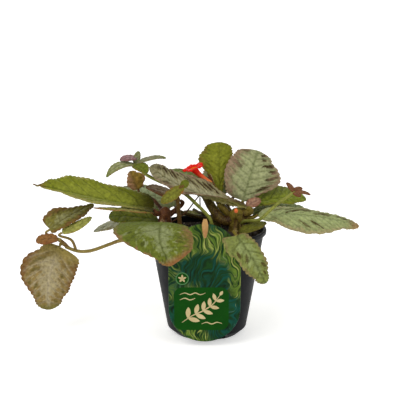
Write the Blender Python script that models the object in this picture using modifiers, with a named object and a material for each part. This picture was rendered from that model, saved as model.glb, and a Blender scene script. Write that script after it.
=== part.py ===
"""Flame violet (Episcia) in a 12 cm nursery pot, with its plant label.

Run with: blender --background --python part.py
Every length below is in millimetres; MM turns it into metres as the meshes are made.
Origin: centre of the pot's foot, +Z up, -Y towards the label.
"""
import math
import random
from dataclasses import dataclass

import bmesh
import bpy
from mathutils import Matrix, Vector

MM = 0.001
SEED = 7
GAP = 0.35
MERGE = 0.00001

# Pot
POT_HEIGHT = 108.0
POT_LIP_R = 60.0
POT_LIP_H = 4.5
POT_WALL_TOP_R = 57.4
POT_WALL_LOW_R = 40.3
POT_WALL_LOW_Z = 6.5
POT_FOOT_R = 33.0
POT_WALL_T = 1.1
POT_FLOOR_T = 1.6
POT_STEPS = 40
NOTCHES = 8
NOTCH_W = 11.0
NOTCH_TOP = 5.4

# Soil
SOIL_TOP = 103.0
SOIL_RINGS = 4
SOIL_SIDES = 24
SOIL_LUMP = 1.3
HOLE_DEPTH = 20.0

# Crowns: place of the axis, radius at the soil and height of the top
CROWNS = {
    "left": ((-42.0, -2.0), 7.0, 126.0),
    "right": ((30.0, 0.0), 8.3, 124.0),
    "back": ((10.0, 26.0), 5.0, 114.0),
}

# Label
LABEL_X = -2.6
LABEL_Y = -61.2
LABEL_HALF_W = 34.7
LABEL_LOW_Z = 5.5
LABEL_TOP_Z = 126.5
LABEL_LOW_ARC = 35.0
LABEL_TOP_ARC = 38.0
LABEL_LEAN = 10.0
LABEL_LEAN_FROM = 101.0
LABEL_T = 0.8
TONGUE_HALF_W = 7.0
TONGUE_PATH = ((-61.2, 119.0), (-60.9, 114.5), (-59.6, 110.6), (-57.4, 110.0),
               (-55.2, 108.2), (-53.6, 100.0), (-51.4, 88.0), (-48.8, 74.0))

# Leaves
BLADE_T = 0.7
TOOTH_DEPTH = 0.055
VEIN_SWEEP = 0.09
END_HALF_W = 0.5
STALK_SEAT = 0.9
STALK_DROP = 0.5


@dataclass
class Blade:
    """One leaf blade. Pairs are (left side, right side), seen from base to tip.

    widths, where given, are the half-widths of each side at even steps from base to tip.
    rise is an extra fold of a side near its base, which opens out towards the tip.
    """
    name: str
    base: tuple
    tip: tuple
    half: tuple
    face: tuple = (0.0, -0.2, 1.0)
    widths: tuple = ()
    arch: float = 0.06
    bend: float = 0.0
    fold: tuple = (10.0, 10.0)
    curl: tuple = (20.0, 20.0)
    rise: tuple = (0.0, 0.0)
    root: tuple = (0.5, 0.5)
    point: tuple = (0.55, 0.55)
    lobe: tuple = (0.04, 0.04)
    teeth: int = 10
    across: int = 2
    pleat: float = 0.5
    crown: str = ""
    start: tuple = ()
    via: tuple = ()
    stem: tuple = (1.8, 1.0)
    colour: str = "leaf_green"


LEAVES = (
    Blade("leaf_far_left", (-53.9, -8, 129.1), (-170.8, -20, 156.7), (28, 25), (0, -0.22, 1),
          widths=((10, 15, 20, 27, 14, 2.5), (20, 21.5, 23, 24.5, 23.5, 13.5)), arch=-0.01,
          fold=(22, 32), root=(0.5, 0.5), point=(1.5, 4.0), lobe=(0.05, 0.05), crown="left",
          stem=(2.6, 1.5), teeth=10),
    Blade("leaf_far_left_lower", (-55.1, -4, 125.2), (-110.0, -36, 136.4), (15, 5), (0, 0.06, 1), arch=0.02,
          fold=(5, 5), teeth=8, crown="left", colour="leaf_tan"),
    Blade("leaf_front_left", (-41.9, -66, 128.9), (-33.2, -112, 99.6), (31, 44), (0, -0.5, 1),
          widths=((26, 30, 31, 31, 30, 27), (41.5, 43.5, 37, 25.5, 16, 8)), arch=0.12,
          bend=0.12, fold=(12, 0), curl=(30, 5), root=(0.5, 0.5), point=(0.5, 0.8), lobe=(0.05, 0.1),
          crown="left", via=((-43.5, -24, 117), (-43, -48, 125.5)), stem=(2.6, 1.2)),
    Blade("leaf_left_dark", (-50.0, 8, 113.4), (-99.1, 4, 118.0), (14, 20), (0, -0.3, 1), arch=0.05,
          point=(0.4, 0.4), teeth=8, crown="left", colour="leaf_dark"),
    Blade("leaf_left_pale", (-58.7, 26, 115.0), (-115.9, 14, 100.5), (16, 16), (0, -0.05, 1), arch=0.04,
          teeth=8, crown="left", via=((-50, 17, 111.6),), colour="leaf_silver"),
    Blade("leaf_centre_long", (40.3, 0, 128.6), (-57.0, -8, 171.1), (18, 35), (0, -0.25, 1),
          widths=((8, 8, 8, 10.5, 14, 15), (9, 17, 24.5, 23, 18, 15)), arch=-0.06,
          fold=(2, 26), curl=(15, 20), rise=(65, 0), lobe=(0.0, 0.0), crown="right", stem=(5.0, 3.0),
          colour="leaf_silver"),
    Blade("leaf_upright_green", (13.3, 36, 136.8), (12.9, 56, 186.4), (21, 14), (0, -1, 0.2),
          widths=((4, 9, 15, 21, 21, 15.5), (4, 5, 6.5, 10, 14, 13.5)), arch=0.1,
          teeth=9, crown="right"),
    Blade("leaf_upright_silver", (37.3, 26, 130.5), (52.9, 48, 178.7), (27, 32), (0, -1, 0.2),
          widths=((21, 25, 27, 26.5, 25, 21.5), (12.5, 22, 29.5, 31.5, 27, 17.5)), arch=0.08,
          curl=(25, 25), root=(0.3, 0.4), lobe=(0.0, 0.0), crown="right",
          via=((33.5, 10, 123), (36.6, 19, 128)),
          stem=(2.6, 1.6), colour="leaf_silver"),
    Blade("leaf_right_green", (45.0, 29, 125.5), (103.6, 44, 129.3), (26, 16), (0, -0.3, 1),
          widths=((10, 15, 19, 23, 25.5, 21), (8, 10, 10, 12, 13, 10)),
          teeth=9, crown="right"),
    Blade("leaf_far_right", (51.9, -1, 121.3), (151.7, -12, 112.3), (27, 32), (0, -0.22, 1),
          widths=((24, 24.5, 22, 19.5, 16.5, 14.5), (14, 25, 32, 31.5, 25.5, 12)), arch=0.055,
          fold=(2, 2), root=(0.45, 0.6), point=(0.65, 0.65), lobe=(0.02, 0.0), crown="right",
          teeth=9, colour="leaf_silver"),
    Blade("leaf_front_right", (27.9, -68, 116.3), (54.1, -88, 75.9), (12, 17), (0, -1, 0.4),
          widths=((9.5, 11.5, 11.5, 11.5, 10.5, 6.5), (14.5, 17, 13, 13, 11.5, 7.5)), arch=0.08,
          bend=-0.02, fold=(5, 8), lobe=(0.04, 0.26),
          crown="right", via=((27.5, -28, 113.5), (27.5, -50, 116.5)), stem=(2.2, 1.3), teeth=8,
          colour="leaf_silver"),
    Blade("leaf_right_low", (33.3, -28, 109.4), (57.9, -10, 116.4), (11, 11), (0, 0, 1), arch=0.05,
          fold=(5, 5), teeth=7, crown="right", via=((33.0, -16, 108.6),), colour="leaf_dark"),
    Blade("leaf_left_tan", (-71.2, 34, 140.9), (-79.4, 36, 159.2), (8, 12), (0, -1, 0.3),
          widths=((6, 8, 8.5, 7.5, 6, 4), (7, 10, 12, 12, 9.5, 5.5)), teeth=7,
          crown="left", via=((-46, 18, 122), (-56, 30, 131)), stem=(2.6, 1.2), colour="leaf_tan"),
    Blade("leaf_brown_silver", (-27.3, 10, 134.4), (-61.3, 4, 149.0), (13, 13), (0, -0.2, 1), teeth=8,
          crown="left", via=((-32, 5, 125),), stem=(3.4, 1.6), colour="leaf_brown"),
    Blade("leaf_pink_small", (41.0, 16, 126.3), (55.0, 22, 132.6), (6.5, 6.5), (0, -0.6, 1), teeth=5, across=1,
          crown="right", colour="leaf_pink"),
    Blade("leaf_back_centre", (-10.0, 34, 141.5), (-40.0, 86, 152.0), (17, 17), face=(0, -0.1, 1),
          crown="right", via=((16, 3, 115), (5, 11, 127), (-2, 22, 137)), stem=(6.5, 3.2), teeth=7),
    Blade("leaf_back_upper_left", (11.0, 52, 128.0), (9.0, 102, 154.0), (15, 15), (0, -0.2, 1), teeth=7,
          crown="back", via=((14, 40, 119),), colour="leaf_silver"),
    Blade("leaf_back_upper_right", (43.0, 44, 137.0), (55.0, 98, 150.0), (21, 21), (0, -0.1, 1), teeth=8,
          crown="back", via=((22, 33, 125), (31, 38, 134))),
    Blade("leaf_back_left", (-34.0, 44, 121.0), (-108.0, 92, 126.0), (23, 23), (-0.1, -0.1, 1), arch=0.08,
          teeth=7, crown="back", via=((-10, 33, 112),), colour="leaf_silver"),
    Blade("leaf_back_right", (50.0, 40, 111.8), (126.0, 84, 99.0), (22, 22), (0, -0.1, 1), arch=0.12,
          teeth=7, crown="back", via=((26, 33, 112), (40, 36, 113))),
    Blade("leaf_back_hanging_left", (-14.0, 67, 110.4), (-24.0, 92, 58.0), (20, 20), (0, 1, 0.6), arch=0.05,
          teeth=7, crown="back", via=((0, 44, 111), (-9, 58, 111.2)), colour="leaf_silver"),
    Blade("leaf_back_hanging_right", (26.0, 66, 110.6), (36.0, 96, 55.0), (22, 22), (0, 1, 0.6), arch=0.08,
          teeth=7, crown="back", via=((19, 44, 111), (24, 56, 111.4))),
    Blade("leaf_back_low_left", (-47.0, 60, 111.0), (-80.0, 116, 97.0), (21, 21), (0, -0.1, 1), arch=0.12,
          teeth=7, crown="back", via=((-18, 40, 112), (-34, 50, 112.4)), colour="leaf_dark"),
)

# Left plantlet: the runner's route and the leaves it carries
RUNNER_LEFT = ((-46.7, -8.2, 107.2), (-48.2, -10.2, 108.6), (-57.0, -13.0, 112.2), (-66, -11, 109.5),
               (-75, -7, 101.8), (-83, -3, 96.4), (-91.3, 0, 93.5), (-100.7, 0, 89.9), (-117.8, -4, 84.9),
               (-130.6, -6, 85.2), (-142.0, -8, 90.0))
PLANTLET_LEAVES = (
    Blade("plantlet_leaf_large", (-147.3, -12, 90.9), (-157.7, -26, 30.0), (25, 30), (0, -1, 0.2),
          widths=((24.5, 25, 24.5, 22.5, 20.5, 14), (17.5, 28, 30.5, 27.5, 19.5, 13.5)), bend=0.08,
          fold=(6, 6), start=(-139, -7.4, 88.7), teeth=9, colour="leaf_brown"),
    Blade("plantlet_leaf_upper", (-157.4, -8, 108.5), (-115.1, 10, 130.0), (21, 13), (-0.2, -0.6, 1),
          widths=((19, 21, 16.5, 10.5, 6.5, 3), (10, 12, 12.5, 13, 11.5, 6.5)),
          arch=0.05, fold=(15, 15), lobe=(0.1, 0.1), start=(-139, -7.4, 88.7), via=((-147, -8, 97),),
          teeth=7),
    Blade("plantlet_leaf_narrow", (-144.2, -14, 106.8), (-114.8, -12, 121.4), (7, 6), (0, -0.6, 1),
          arch=-0.05, root=(0.4, 0.4), teeth=7, across=1, start=(-132, -6.3, 85.8), via=((-136, -10, 97.6),)),
    Blade("plantlet_leaf_orange", (-148.4, -20, 101.7), (-169.1, -24, 100.2), (9, 9), (0, -0.4, 1), arch=0.05,
          root=(0.4, 0.4), point=(0.4, 0.4), teeth=5, across=1, colour="leaf_tan",
          start=(-145.6, -8.6, 95.0), via=((-149, -14, 99),)),
)

# Upper-left plantlet: a long runner with a tuft of small leaves fused to its end
RUNNER_TOP = ((5.5, -8, 84), (5.5, -8, 100), (4.9, -8, 113), (1.0, -8, 121.9), (-11.2, -4, 133.7),
              (-22.3, -1, 143.3), (-31.7, -1, 149.2), (-49.0, -5, 157.3), (-60.6, -8, 164.3),
              (-72.0, -8, 174.0))
RUNNER_TOP_LEAVES = (
    Blade("", (-71.0, -8, 173.6), (-99.0, -16, 163.1), (7, 8), (0, -0.3, 1), arch=0.2, teeth=5, across=1),
    Blade("", (-71.2, -7.5, 174.2), (-85.9, -10, 181.8), (6, 6), (0, -0.4, 1), arch=0.05, teeth=2, across=1),
    Blade("", (-71.0, -7, 174.4), (-40.6, -8, 180.6), (6, 6), (0, -0.2, 1), arch=0.1, teeth=5, across=1),
    Blade("", (-71.4, -8.5, 174.0), (-58.5, -25, 168.9), (7, 7), (0, -0.6, 1), arch=0.12, teeth=5, across=1),
    Blade("", (-71.4, -7, 174.4), (-67.6, -3, 186.6), (3.5, 3.5), (0, -1, 0.2), teeth=2, across=1),
)

# Right plantlet: a short runner with small leaves fused to its end
RUNNER_RIGHT = ((34.8, -8.2, 114.6), (37.6, -12.0, 117.5), (43.0, -17.0, 119.2), (49.0, -20.5, 120.4),
                (54.2, -21.0, 122.8), (62.2, -18.0, 129.8), (70.3, -14.0, 136.0), (78.7, -8.0, 140.3),
                (87.3, -2.0, 145.4))
RUNNER_RIGHT_LEAVES = (
    Blade("", (87.0, -2.5, 145.6), (79.1, -5, 155.2), (2.6, 2.6), (0, -0.9, 0.5), arch=0.1, teeth=3, across=1),
    Blade("", (87.2, -2.0, 145.4), (103.3, -5, 142.9), (2.5, 2.5), (0, -0.6, 1), arch=0.1, teeth=4, across=1),
    Blade("", (86.8, -2.5, 145.2), (92.9, -10, 142.0), (3.2, 3.2), (0, -0.8, 1), teeth=3, across=1),
    Blade("", (86.8, -1.5, 145.6), (95.6, 4, 148.2), (3.4, 3.4), (0, -0.8, 1), teeth=3, across=1),
)

# Young shoot between the crowns
SHOOT_STALK = ((-27, -16, 84), (-27, -16, 104), (-27.3, -17, 118), (-28.7, -20, 135.8), (-29.3, -22, 149),
               (-26.2, -22, 153.4), (-23.0, -22, 155.4))
SHOOT_LEAVES = (
    Blade("", (-23.6, -22.4, 154.4), (-44.8, -28, 139.5), (6.5, 6.5), (0, -0.9, 0.8), arch=0.05,
          fold=(5, 5), teeth=6, across=1),
    Blade("", (-25.2, -22.4, 154.2), (-18.6, -21.5, 160.4), (4, 4), (0, -1, 0.3), teeth=3, across=1),
)

# Old flower stalks, thin and dark, and the stalks of the flower and the bud: crown, route, radius
FLOWER_STALKS = (
    ("left", ((-41.5, -1, 110), (-34, 2, 114.5), (-21.4, 4, 122.8), (-9.2, 10, 137.2), (-3, 13, 141)), 0.7),
    ("back", ((9.0, 25, 108), (3.0, 18, 113), (-5.8, 11, 124.5), (-7.1, 12, 136.5)), 0.7),
    ("right", ((28, 3, 114), (22, 20, 127), (15, 26, 137), (8.35, 31.8, 145.1)), 1.0),
    ("right", ((29, -3, 114), (29.0, -9, 120), (28.8, -11.4, 124.8)), 0.9),
    ("right", ((29, 3, 116), (20, 3, 123), (12.5, 4, 131)), 3.6),
)

# Flower: calyx, tube and the five fringed lobes
CALYX_BASE = (6.4, 32, 146.8)
CALYX_AXIS = (-0.84, -0.1, 0.53)
SEPALS = 5
SEPAL_L = 11.0
SEPAL_W = 2.6
FACE_AXIS = (-0.3, -0.12, 0.94)
TUBE_L = 26.0
TUBE_SEAT = 2.05
TUBE_R = 2.2
TUBE_RINGS = 4
THROAT_R = 3.9
LIMB_R = 11.2
LIMB_RINGS = 3
LOBES = 5
FRINGE = 3
FLOWER_T = 0.7
BUD_AT = (28.8, -11.9, 128.0)
BUD_R = 2.3

# Dried bract that hangs over the lip and the label
BRACT_PATH = ((-46.0, 92.0), (-46.5, 104.0), (-50.5, 117.0), (-57.0, 128.4), (-62.0, 130.6), (-64.4, 126.0),
              (-65.0, 119.5), (-64.8, 113.6))
BRACT_HALF_W = (1.0, 1.0, 1.0, 1.4, 2.8, 3.6, 2.6, 0.7)
BRACT_X = -2.2

# Colour, roughness
FINISHES = {
    "pot_plastic": ((0.045, 0.047, 0.052), 0.45),
    "soil": ((0.025, 0.017, 0.012), 0.95),
    "label_print": ((0.06, 0.16, 0.07), 0.35),
    "stem": ((0.22, 0.16, 0.04), 0.6),
    "runner": ((0.28, 0.32, 0.05), 0.55),
    "leaf_green": ((0.20, 0.25, 0.04), 0.65),
    "leaf_dark": ((0.09, 0.13, 0.02), 0.65),
    "leaf_silver": ((0.33, 0.38, 0.2), 0.65),
    "leaf_brown": ((0.30, 0.20, 0.11), 0.65),
    "leaf_tan": ((0.38, 0.27, 0.13), 0.65),
    "leaf_pink": ((0.40, 0.24, 0.18), 0.65),
    "petal": ((0.85, 0.05, 0.01), 0.5),
    "sepal": ((0.30, 0.12, 0.06), 0.6),
    "dried_leaf": ((0.55, 0.35, 0.13), 0.8),
}

random.seed(SEED)


# Scene set-up
def clear_scene():
    for thing in list(bpy.data.objects):
        bpy.data.objects.remove(thing, do_unlink=True)


def new_collection(name):
    group = bpy.data.collections.new(name)
    bpy.context.scene.collection.children.link(group)
    return group


def finish_of(name):
    """The named Principled material, made once."""
    found = bpy.data.materials.get(name)
    if found:
        return found
    colour, rough = FINISHES[name]
    made = bpy.data.materials.new(name)
    made.use_nodes = True
    shader = made.node_tree.nodes["Principled BSDF"]
    shader.inputs["Base Color"].default_value = (*colour, 1.0)
    shader.inputs["Roughness"].default_value = rough
    made.diffuse_color = (*colour, 1.0)
    return made


def add_mesh(name, bm, group, at=(0, 0, 0)):
    """Turn a bmesh into an object of the group, placed at a point in millimetres."""
    mesh = bpy.data.meshes.new(name)
    bm.to_mesh(mesh)
    bm.free()
    thing = bpy.data.objects.new(name, mesh)
    thing.location = Vector(at) * MM
    group.objects.link(thing)
    return thing


def dress(thing, finish, smooth=True):
    thing.data.materials.clear()
    thing.data.materials.append(finish_of(finish))
    if smooth:
        thing.data.shade_smooth()
        thing.data.set_sharp_from_angle(angle=math.radians(40))


def bake(thing):
    """Replace an object's mesh by what its modifiers make of it."""
    bpy.context.view_layer.update()
    graph = bpy.context.evaluated_depsgraph_get()
    mesh = bpy.data.meshes.new_from_object(thing.evaluated_get(graph))
    if thing.type == "CURVE":
        bm = bmesh.new()
        bm.from_mesh(mesh)
        bmesh.ops.remove_doubles(bm, verts=bm.verts, dist=MERGE)
        bm.to_mesh(mesh)
        bm.free()
        name, groups, place = thing.name, list(thing.users_collection), thing.matrix_world.copy()
        bpy.data.objects.remove(thing, do_unlink=True)
        solid = bpy.data.objects.new(name, mesh)
        for group in groups:
            group.objects.link(solid)
        solid.matrix_world = place
        return solid
    thing.modifiers.clear()
    thing.data = mesh
    return thing


def cut(thing, cutter):
    knife = thing.modifiers.new("cut " + cutter.name, "BOOLEAN")
    knife.operation = "DIFFERENCE"
    knife.solver = "EXACT"
    knife.object = cutter


def fuse(pieces):
    """Join closed pieces into one closed body by one Boolean union on a collection."""
    first = pieces[0]
    if len(pieces) == 1:
        return first
    rest = new_collection("joined")
    for piece in pieces[1:]:
        rest.objects.link(piece)
    union = first.modifiers.new("union", "BOOLEAN")
    union.operation = "UNION"
    union.operand_type = "COLLECTION"
    union.collection = rest
    union.solver = "EXACT"
    bake(first)
    for piece in pieces[1:]:
        bpy.data.objects.remove(piece, do_unlink=True)
    bpy.data.collections.remove(rest)
    return first


# Curves and tubes
def smooth_path(points, steps):
    """Points of a Catmull-Rom curve through the given points."""
    knots = [Vector(p) for p in points]
    path = []
    for i in range(len(knots) - 1):
        before = knots[max(i - 1, 0)]
        start, end = knots[i], knots[i + 1]
        after = knots[min(i + 2, len(knots) - 1)]
        for k in range(steps):
            f = k / steps
            path.append(0.5 * (2 * start + (end - before) * f
                               + (2 * before - 5 * start + 4 * end - after) * f ** 2
                               + (3 * start - before - 3 * end + after) * f ** 3))
    path.append(knots[-1])
    return path


def tube(name, points, radius_from, radius_to, group, steps=2):
    """A round stalk along a smooth route, with closed ends."""
    path = smooth_path(points, steps)
    curve = bpy.data.curves.new(name, "CURVE")
    curve.dimensions = "3D"
    curve.bevel_depth = MM
    curve.bevel_resolution = 1
    curve.use_fill_caps = True
    spline = curve.splines.new("POLY")
    spline.points.add(len(path) - 1)
    for i, point in enumerate(path):
        spline.points[i].co = (*(point * MM), 1.0)
        spline.points[i].radius = radius_from + (radius_to - radius_from) * i / (len(path) - 1)
    thing = bpy.data.objects.new(name, curve)
    group.objects.link(thing)
    return bake(thing)


# Leaf form
def outline(t, root, point):
    """Half-width along the leaf as a share of the widest: root and point say how blunt its ends are."""
    widest = root / (root + point)
    t = min(max(t, 1e-6), 1 - 1e-6)
    return (t / widest) ** root * ((1 - t) / (1 - widest)) ** point


def measured(t, widths, root, point):
    """Half-width along a side from its widths at even steps, with ends rounded or drawn out."""
    steps = len(widths) + 1
    x = t * steps
    if x < 1:
        return widths[0] * max(x * (2 - x), 0) ** root
    if x > steps - 1:
        return widths[-1] * max((steps - x) * (2 - steps + x), 0) ** point
    i = min(int(x), steps - 2) - 1
    f = x - 1 - i
    a, b, c, d = widths[max(i - 1, 0)], widths[i], widths[i + 1], widths[min(i + 2, steps - 2)]
    return 0.5 * (2 * b + (c - a) * f + (2 * a - 5 * b + 4 * c - d) * f ** 2 + (3 * b - a - 3 * c + d) * f ** 3)


def arc(reach, fold, curl):
    """Sideways and upward travel of a section that starts at the fold angle and bends back by curl."""
    fold, turn = math.radians(fold), math.radians(curl) * reach
    if abs(turn) < 1e-4:
        return reach * math.cos(fold), reach * math.sin(fold)
    return (reach * (math.sin(fold) - math.sin(fold - turn)) / turn,
            reach * (math.cos(fold - turn) - math.cos(fold)) / turn)


def blade_frame(leaf):
    """Length and the directions along, to the right-hand side and out of the upper face."""
    base, tip = Vector(leaf.base), Vector(leaf.tip)
    along = (tip - base).normalized()
    face = Vector(leaf.face)
    normal = (face - along * face.dot(along)).normalized()
    return (tip - base).length, along, along.cross(normal), normal


def blade_point(leaf, row, s):
    """Place on the blade: row runs 0 to 1 from base to tip along the veins, s from -1 to 1 across."""
    length, along, side, normal = blade_frame(leaf)
    reach = abs(s)
    k = 0 if s <= 0 else 1
    t = 0.5 * row + 0.25 * (1 - math.cos(math.pi * row))
    t += VEIN_SWEEP * reach * 4 * t * (1 - t)
    bow = 4 * t * (1 - t)
    slope = 4 * (1 - 2 * t)
    rib = along * (length * t) + normal * (length * leaf.arch * bow) + side * (length * leaf.bend * bow)
    forward = (along + normal * (leaf.arch * slope) + side * (leaf.bend * slope)).normalized()
    across = (side - forward * side.dot(forward)).normalized()
    up = across.cross(forward)
    if leaf.widths:
        half = measured(t, leaf.widths[k], leaf.root[k], leaf.point[k])
    else:
        half = leaf.half[k] * outline(t, leaf.root[k], leaf.point[k])
    half = max(half, END_HALF_W)
    wave = math.cos(2 * math.pi * leaf.teeth * row)
    if 0 < row < 1:
        half *= 1 - 0.5 * TOOTH_DEPTH * wave
    closed = 1 - min(max((t - 0.3) / 0.3, 0), 1)
    out, rise = arc(reach, leaf.fold[k] + leaf.rise[k] * closed, leaf.curl[k])
    relief = -leaf.pleat * wave * 4 * reach * (1 - reach) * math.sin(math.pi * row)
    back = leaf.lobe[k] * length * reach ** 1.5 * (1 - t) ** 3 * min(1, t / 0.08) ** 0.6
    return (rib + across * math.copysign(out * half, s) + up * (rise * half + relief) - forward * back)


def blade(leaf, name, group, thickness=BLADE_T):
    """A leaf blade: a grid moved on to the leaf form, cut in triangles and thickened."""
    bm = bmesh.new()
    bmesh.ops.create_grid(bm, x_segments=2 * leaf.teeth, y_segments=2 * leaf.across, size=0.5)
    for v in bm.verts:
        v.co = blade_point(leaf, v.co.x + 0.5, -2 * v.co.y) * MM
    bmesh.ops.triangulate(bm, faces=bm.faces, quad_method="SHORT_EDGE")
    thing = add_mesh(name, bm, group, leaf.base)
    skin = thing.modifiers.new("thickness", "SOLIDIFY")
    skin.thickness = thickness * MM
    skin.offset = 0
    return bake(thing)


def leaf_stalk(leaf, start, group, steps=2):
    """The stalk from a crown to just behind the blade, which it meets from below."""
    length, along, side, normal = blade_frame(leaf)
    seat = Vector(leaf.base) - along * STALK_SEAT - normal * STALK_DROP
    span = (seat - Vector(leaf.via[-1] if leaf.via else start)).length
    lead = seat - (along * 0.85 + normal * 0.5) * min(9.0, span / 3)
    return tube("stalk", (start, *leaf.via, lead, seat), *leaf.stem, group, steps)


# Pieces
def make_pot(group, knives):
    """Turned wall, lip and floor; notches cut through the low corner leave feet between them."""
    inner_low = POT_WALL_LOW_R - POT_WALL_T
    inner_top = POT_WALL_TOP_R - POT_WALL_T
    profile = (
        (0, POT_FLOOR_T), (POT_FOOT_R - 1.0, POT_FLOOR_T), (inner_low, POT_WALL_LOW_Z + 0.4),
        (inner_top, POT_HEIGHT - POT_LIP_H), (inner_top + 0.7, POT_HEIGHT - 0.8),
        (inner_top + 1.4, POT_HEIGHT), (POT_LIP_R - 0.7, POT_HEIGHT), (POT_LIP_R, POT_HEIGHT - 0.8),
        (POT_LIP_R, POT_HEIGHT - POT_LIP_H), (POT_WALL_TOP_R, POT_HEIGHT - POT_LIP_H - 0.6),
        (POT_WALL_LOW_R, POT_WALL_LOW_Z), (POT_FOOT_R, 0), (0, 0),
    )
    bm = bmesh.new()
    points = [bm.verts.new((r * MM, 0, z * MM)) for r, z in profile]
    for a, b in zip(points, points[1:]):
        bm.edges.new((a, b))
    pot = add_mesh("pot", bm, group)
    turn = pot.modifiers.new("turn", "SCREW")
    turn.axis = "Z"
    turn.steps = POT_STEPS
    turn.render_steps = POT_STEPS
    turn.use_merge_vertices = True
    turn.merge_threshold = 0.00005
    turn.use_normal_calculate = False
    for i in range(NOTCHES):
        angle = 2 * math.pi * (i + 0.5) / NOTCHES
        bm = bmesh.new()
        bmesh.ops.create_cube(bm, size=1.0)
        reach = POT_WALL_LOW_R - POT_FOOT_R + 6
        bmesh.ops.scale(bm, vec=(reach * MM, NOTCH_W * MM, (NOTCH_TOP + 1) * MM), verts=bm.verts)
        notch = add_mesh(f"notch_{i}", bm, knives)
        middle = Vector((POT_FOOT_R - 1 + reach / 2, 0, (NOTCH_TOP - 1) / 2))
        middle.rotate(Matrix.Rotation(angle, 3, "Z"))
        notch.location = middle * MM
        notch.rotation_euler.z = angle
        notch.hide_render = True
        notch.display_type = "WIRE"
        cut(pot, notch)
    dress(pot, "pot_plastic")
    return pot


def foot_hole(name, at, radius, knives):
    """A plain round hole in the soil round the foot of a stem."""
    bm = bmesh.new()
    bmesh.ops.create_cone(bm, cap_ends=True, segments=12, radius1=(radius + GAP) * MM,
                          radius2=(radius + GAP) * MM, depth=(HOLE_DEPTH + 14) * MM)
    hole = add_mesh(name, bm, knives, (at[0], at[1], SOIL_TOP - HOLE_DEPTH + (HOLE_DEPTH + 14) / 2))
    hole.hide_render = True
    hole.display_type = "WIRE"
    return hole


def make_soil(group, knives):
    """Peat that fills the pot, uneven on top, with plain holes for the stems and a slot for the stake."""
    slope = (POT_WALL_TOP_R - POT_WALL_LOW_R) / (POT_HEIGHT - POT_LIP_H - POT_WALL_LOW_Z)
    top_r = POT_WALL_LOW_R - POT_WALL_T + slope * (SOIL_TOP - POT_WALL_LOW_Z) - 0.5
    low_z = POT_WALL_LOW_Z + 1.2
    low_r = POT_WALL_LOW_R - POT_WALL_T + slope * (low_z - POT_WALL_LOW_Z) - 0.5
    bm = bmesh.new()
    bmesh.ops.create_cone(bm, cap_ends=True, segments=SOIL_SIDES, radius1=low_r * MM, radius2=top_r * MM,
                          depth=(SOIL_TOP - low_z) * MM)
    bmesh.ops.translate(bm, verts=bm.verts, vec=(0, 0, (SOIL_TOP + low_z) / 2 * MM))
    cap = [f for f in bm.faces if f.normal.z > 0.9]
    for ring in range(SOIL_RINGS):
        share = 1 - (ring + 1) / (SOIL_RINGS + 1)
        inner = bmesh.ops.inset_region(bm, faces=cap, thickness=top_r / (SOIL_RINGS + 1) * MM, depth=0)
        for v in {v for f in cap for v in f.verts}:
            v.co.z = (SOIL_TOP + SOIL_LUMP * (random.random() - 0.35) + 1.2 * (1 - share ** 2)) * MM
        del inner
    bmesh.ops.triangulate(bm, faces=cap)
    soil = add_mesh("soil", bm, group)
    for key, (place, radius, top) in CROWNS.items():
        cut(soil, foot_hole("hole_" + key, place, radius, knives))
    for key, route, radius in (("runner_top", RUNNER_TOP, 1.9), ("shoot", SHOOT_STALK, 2.2)):
        cut(soil, foot_hole("hole_" + key, route[0], radius, knives))
    cut(soil, foot_hole("hole_bract", (BRACT_X, BRACT_PATH[0][0]), 1.4, knives))
    slot = tongue("slot", knives, TONGUE_HALF_W + GAP, LABEL_T + 2 * GAP, 2 * GAP)
    slot.hide_render = True
    slot.display_type = "WIRE"
    cut(soil, slot)
    dress(soil, "soil", smooth=False)
    return soil


def strip(name, group, path, half_widths, x, thickness):
    """A band along a route in the YZ plane, thickened."""
    bm = bmesh.new()
    rows = len(path) - 1
    bmesh.ops.create_grid(bm, x_segments=rows, y_segments=2, size=0.5)
    for v in bm.verts:
        i = round((v.co.x + 0.5) * rows)
        v.co = Vector((x + 2 * v.co.y * half_widths[i], *path[i])) * MM
    bmesh.ops.triangulate(bm, faces=bm.faces)
    thing = add_mesh(name, bm, group)
    skin = thing.modifiers.new("thickness", "SOLIDIFY")
    skin.thickness = thickness * MM
    skin.offset = 0
    return bake(thing)


def tongue(name, group, half_width, thickness, extra=0.0):
    """The label's stake: out of the plate, over the lip and down into the soil, with a pointed end."""
    widths = [half_width] * (len(TONGUE_PATH) - 1) + [half_width * 0.45]
    y, z = TONGUE_PATH[-1]
    return strip(name, group, (*TONGUE_PATH[:-1], (y, z - extra)), widths, LABEL_X, thickness)


def label_point(row, s):
    """Row runs 0 to 1 from the lower arc, up the straight sides and over the upper arc."""
    low_end, top_start = 0.4, 0.6
    low_z, top_z = LABEL_LOW_Z + LABEL_LOW_ARC, LABEL_TOP_Z - LABEL_TOP_ARC
    if row < low_end:
        angle = row / low_end * math.pi / 2
        half, z = math.sin(angle), low_z - LABEL_LOW_ARC * math.cos(angle)
    elif row > top_start:
        angle = (row - top_start) / (1 - top_start) * math.pi / 2
        half, z = math.cos(angle), top_z + LABEL_TOP_ARC * math.sin(angle)
    else:
        half, z = 1.0, low_z + (top_z - low_z) * (row - low_end) / (top_start - low_end)
    half = max(half * LABEL_HALF_W, END_HALF_W)
    lean = max(0.0, (LABEL_LEAN_FROM - z) / (LABEL_LEAN_FROM - LABEL_LOW_Z))
    return Vector((LABEL_X + s * half, LABEL_Y + LABEL_LEAN * lean ** 1.4, z))


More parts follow.
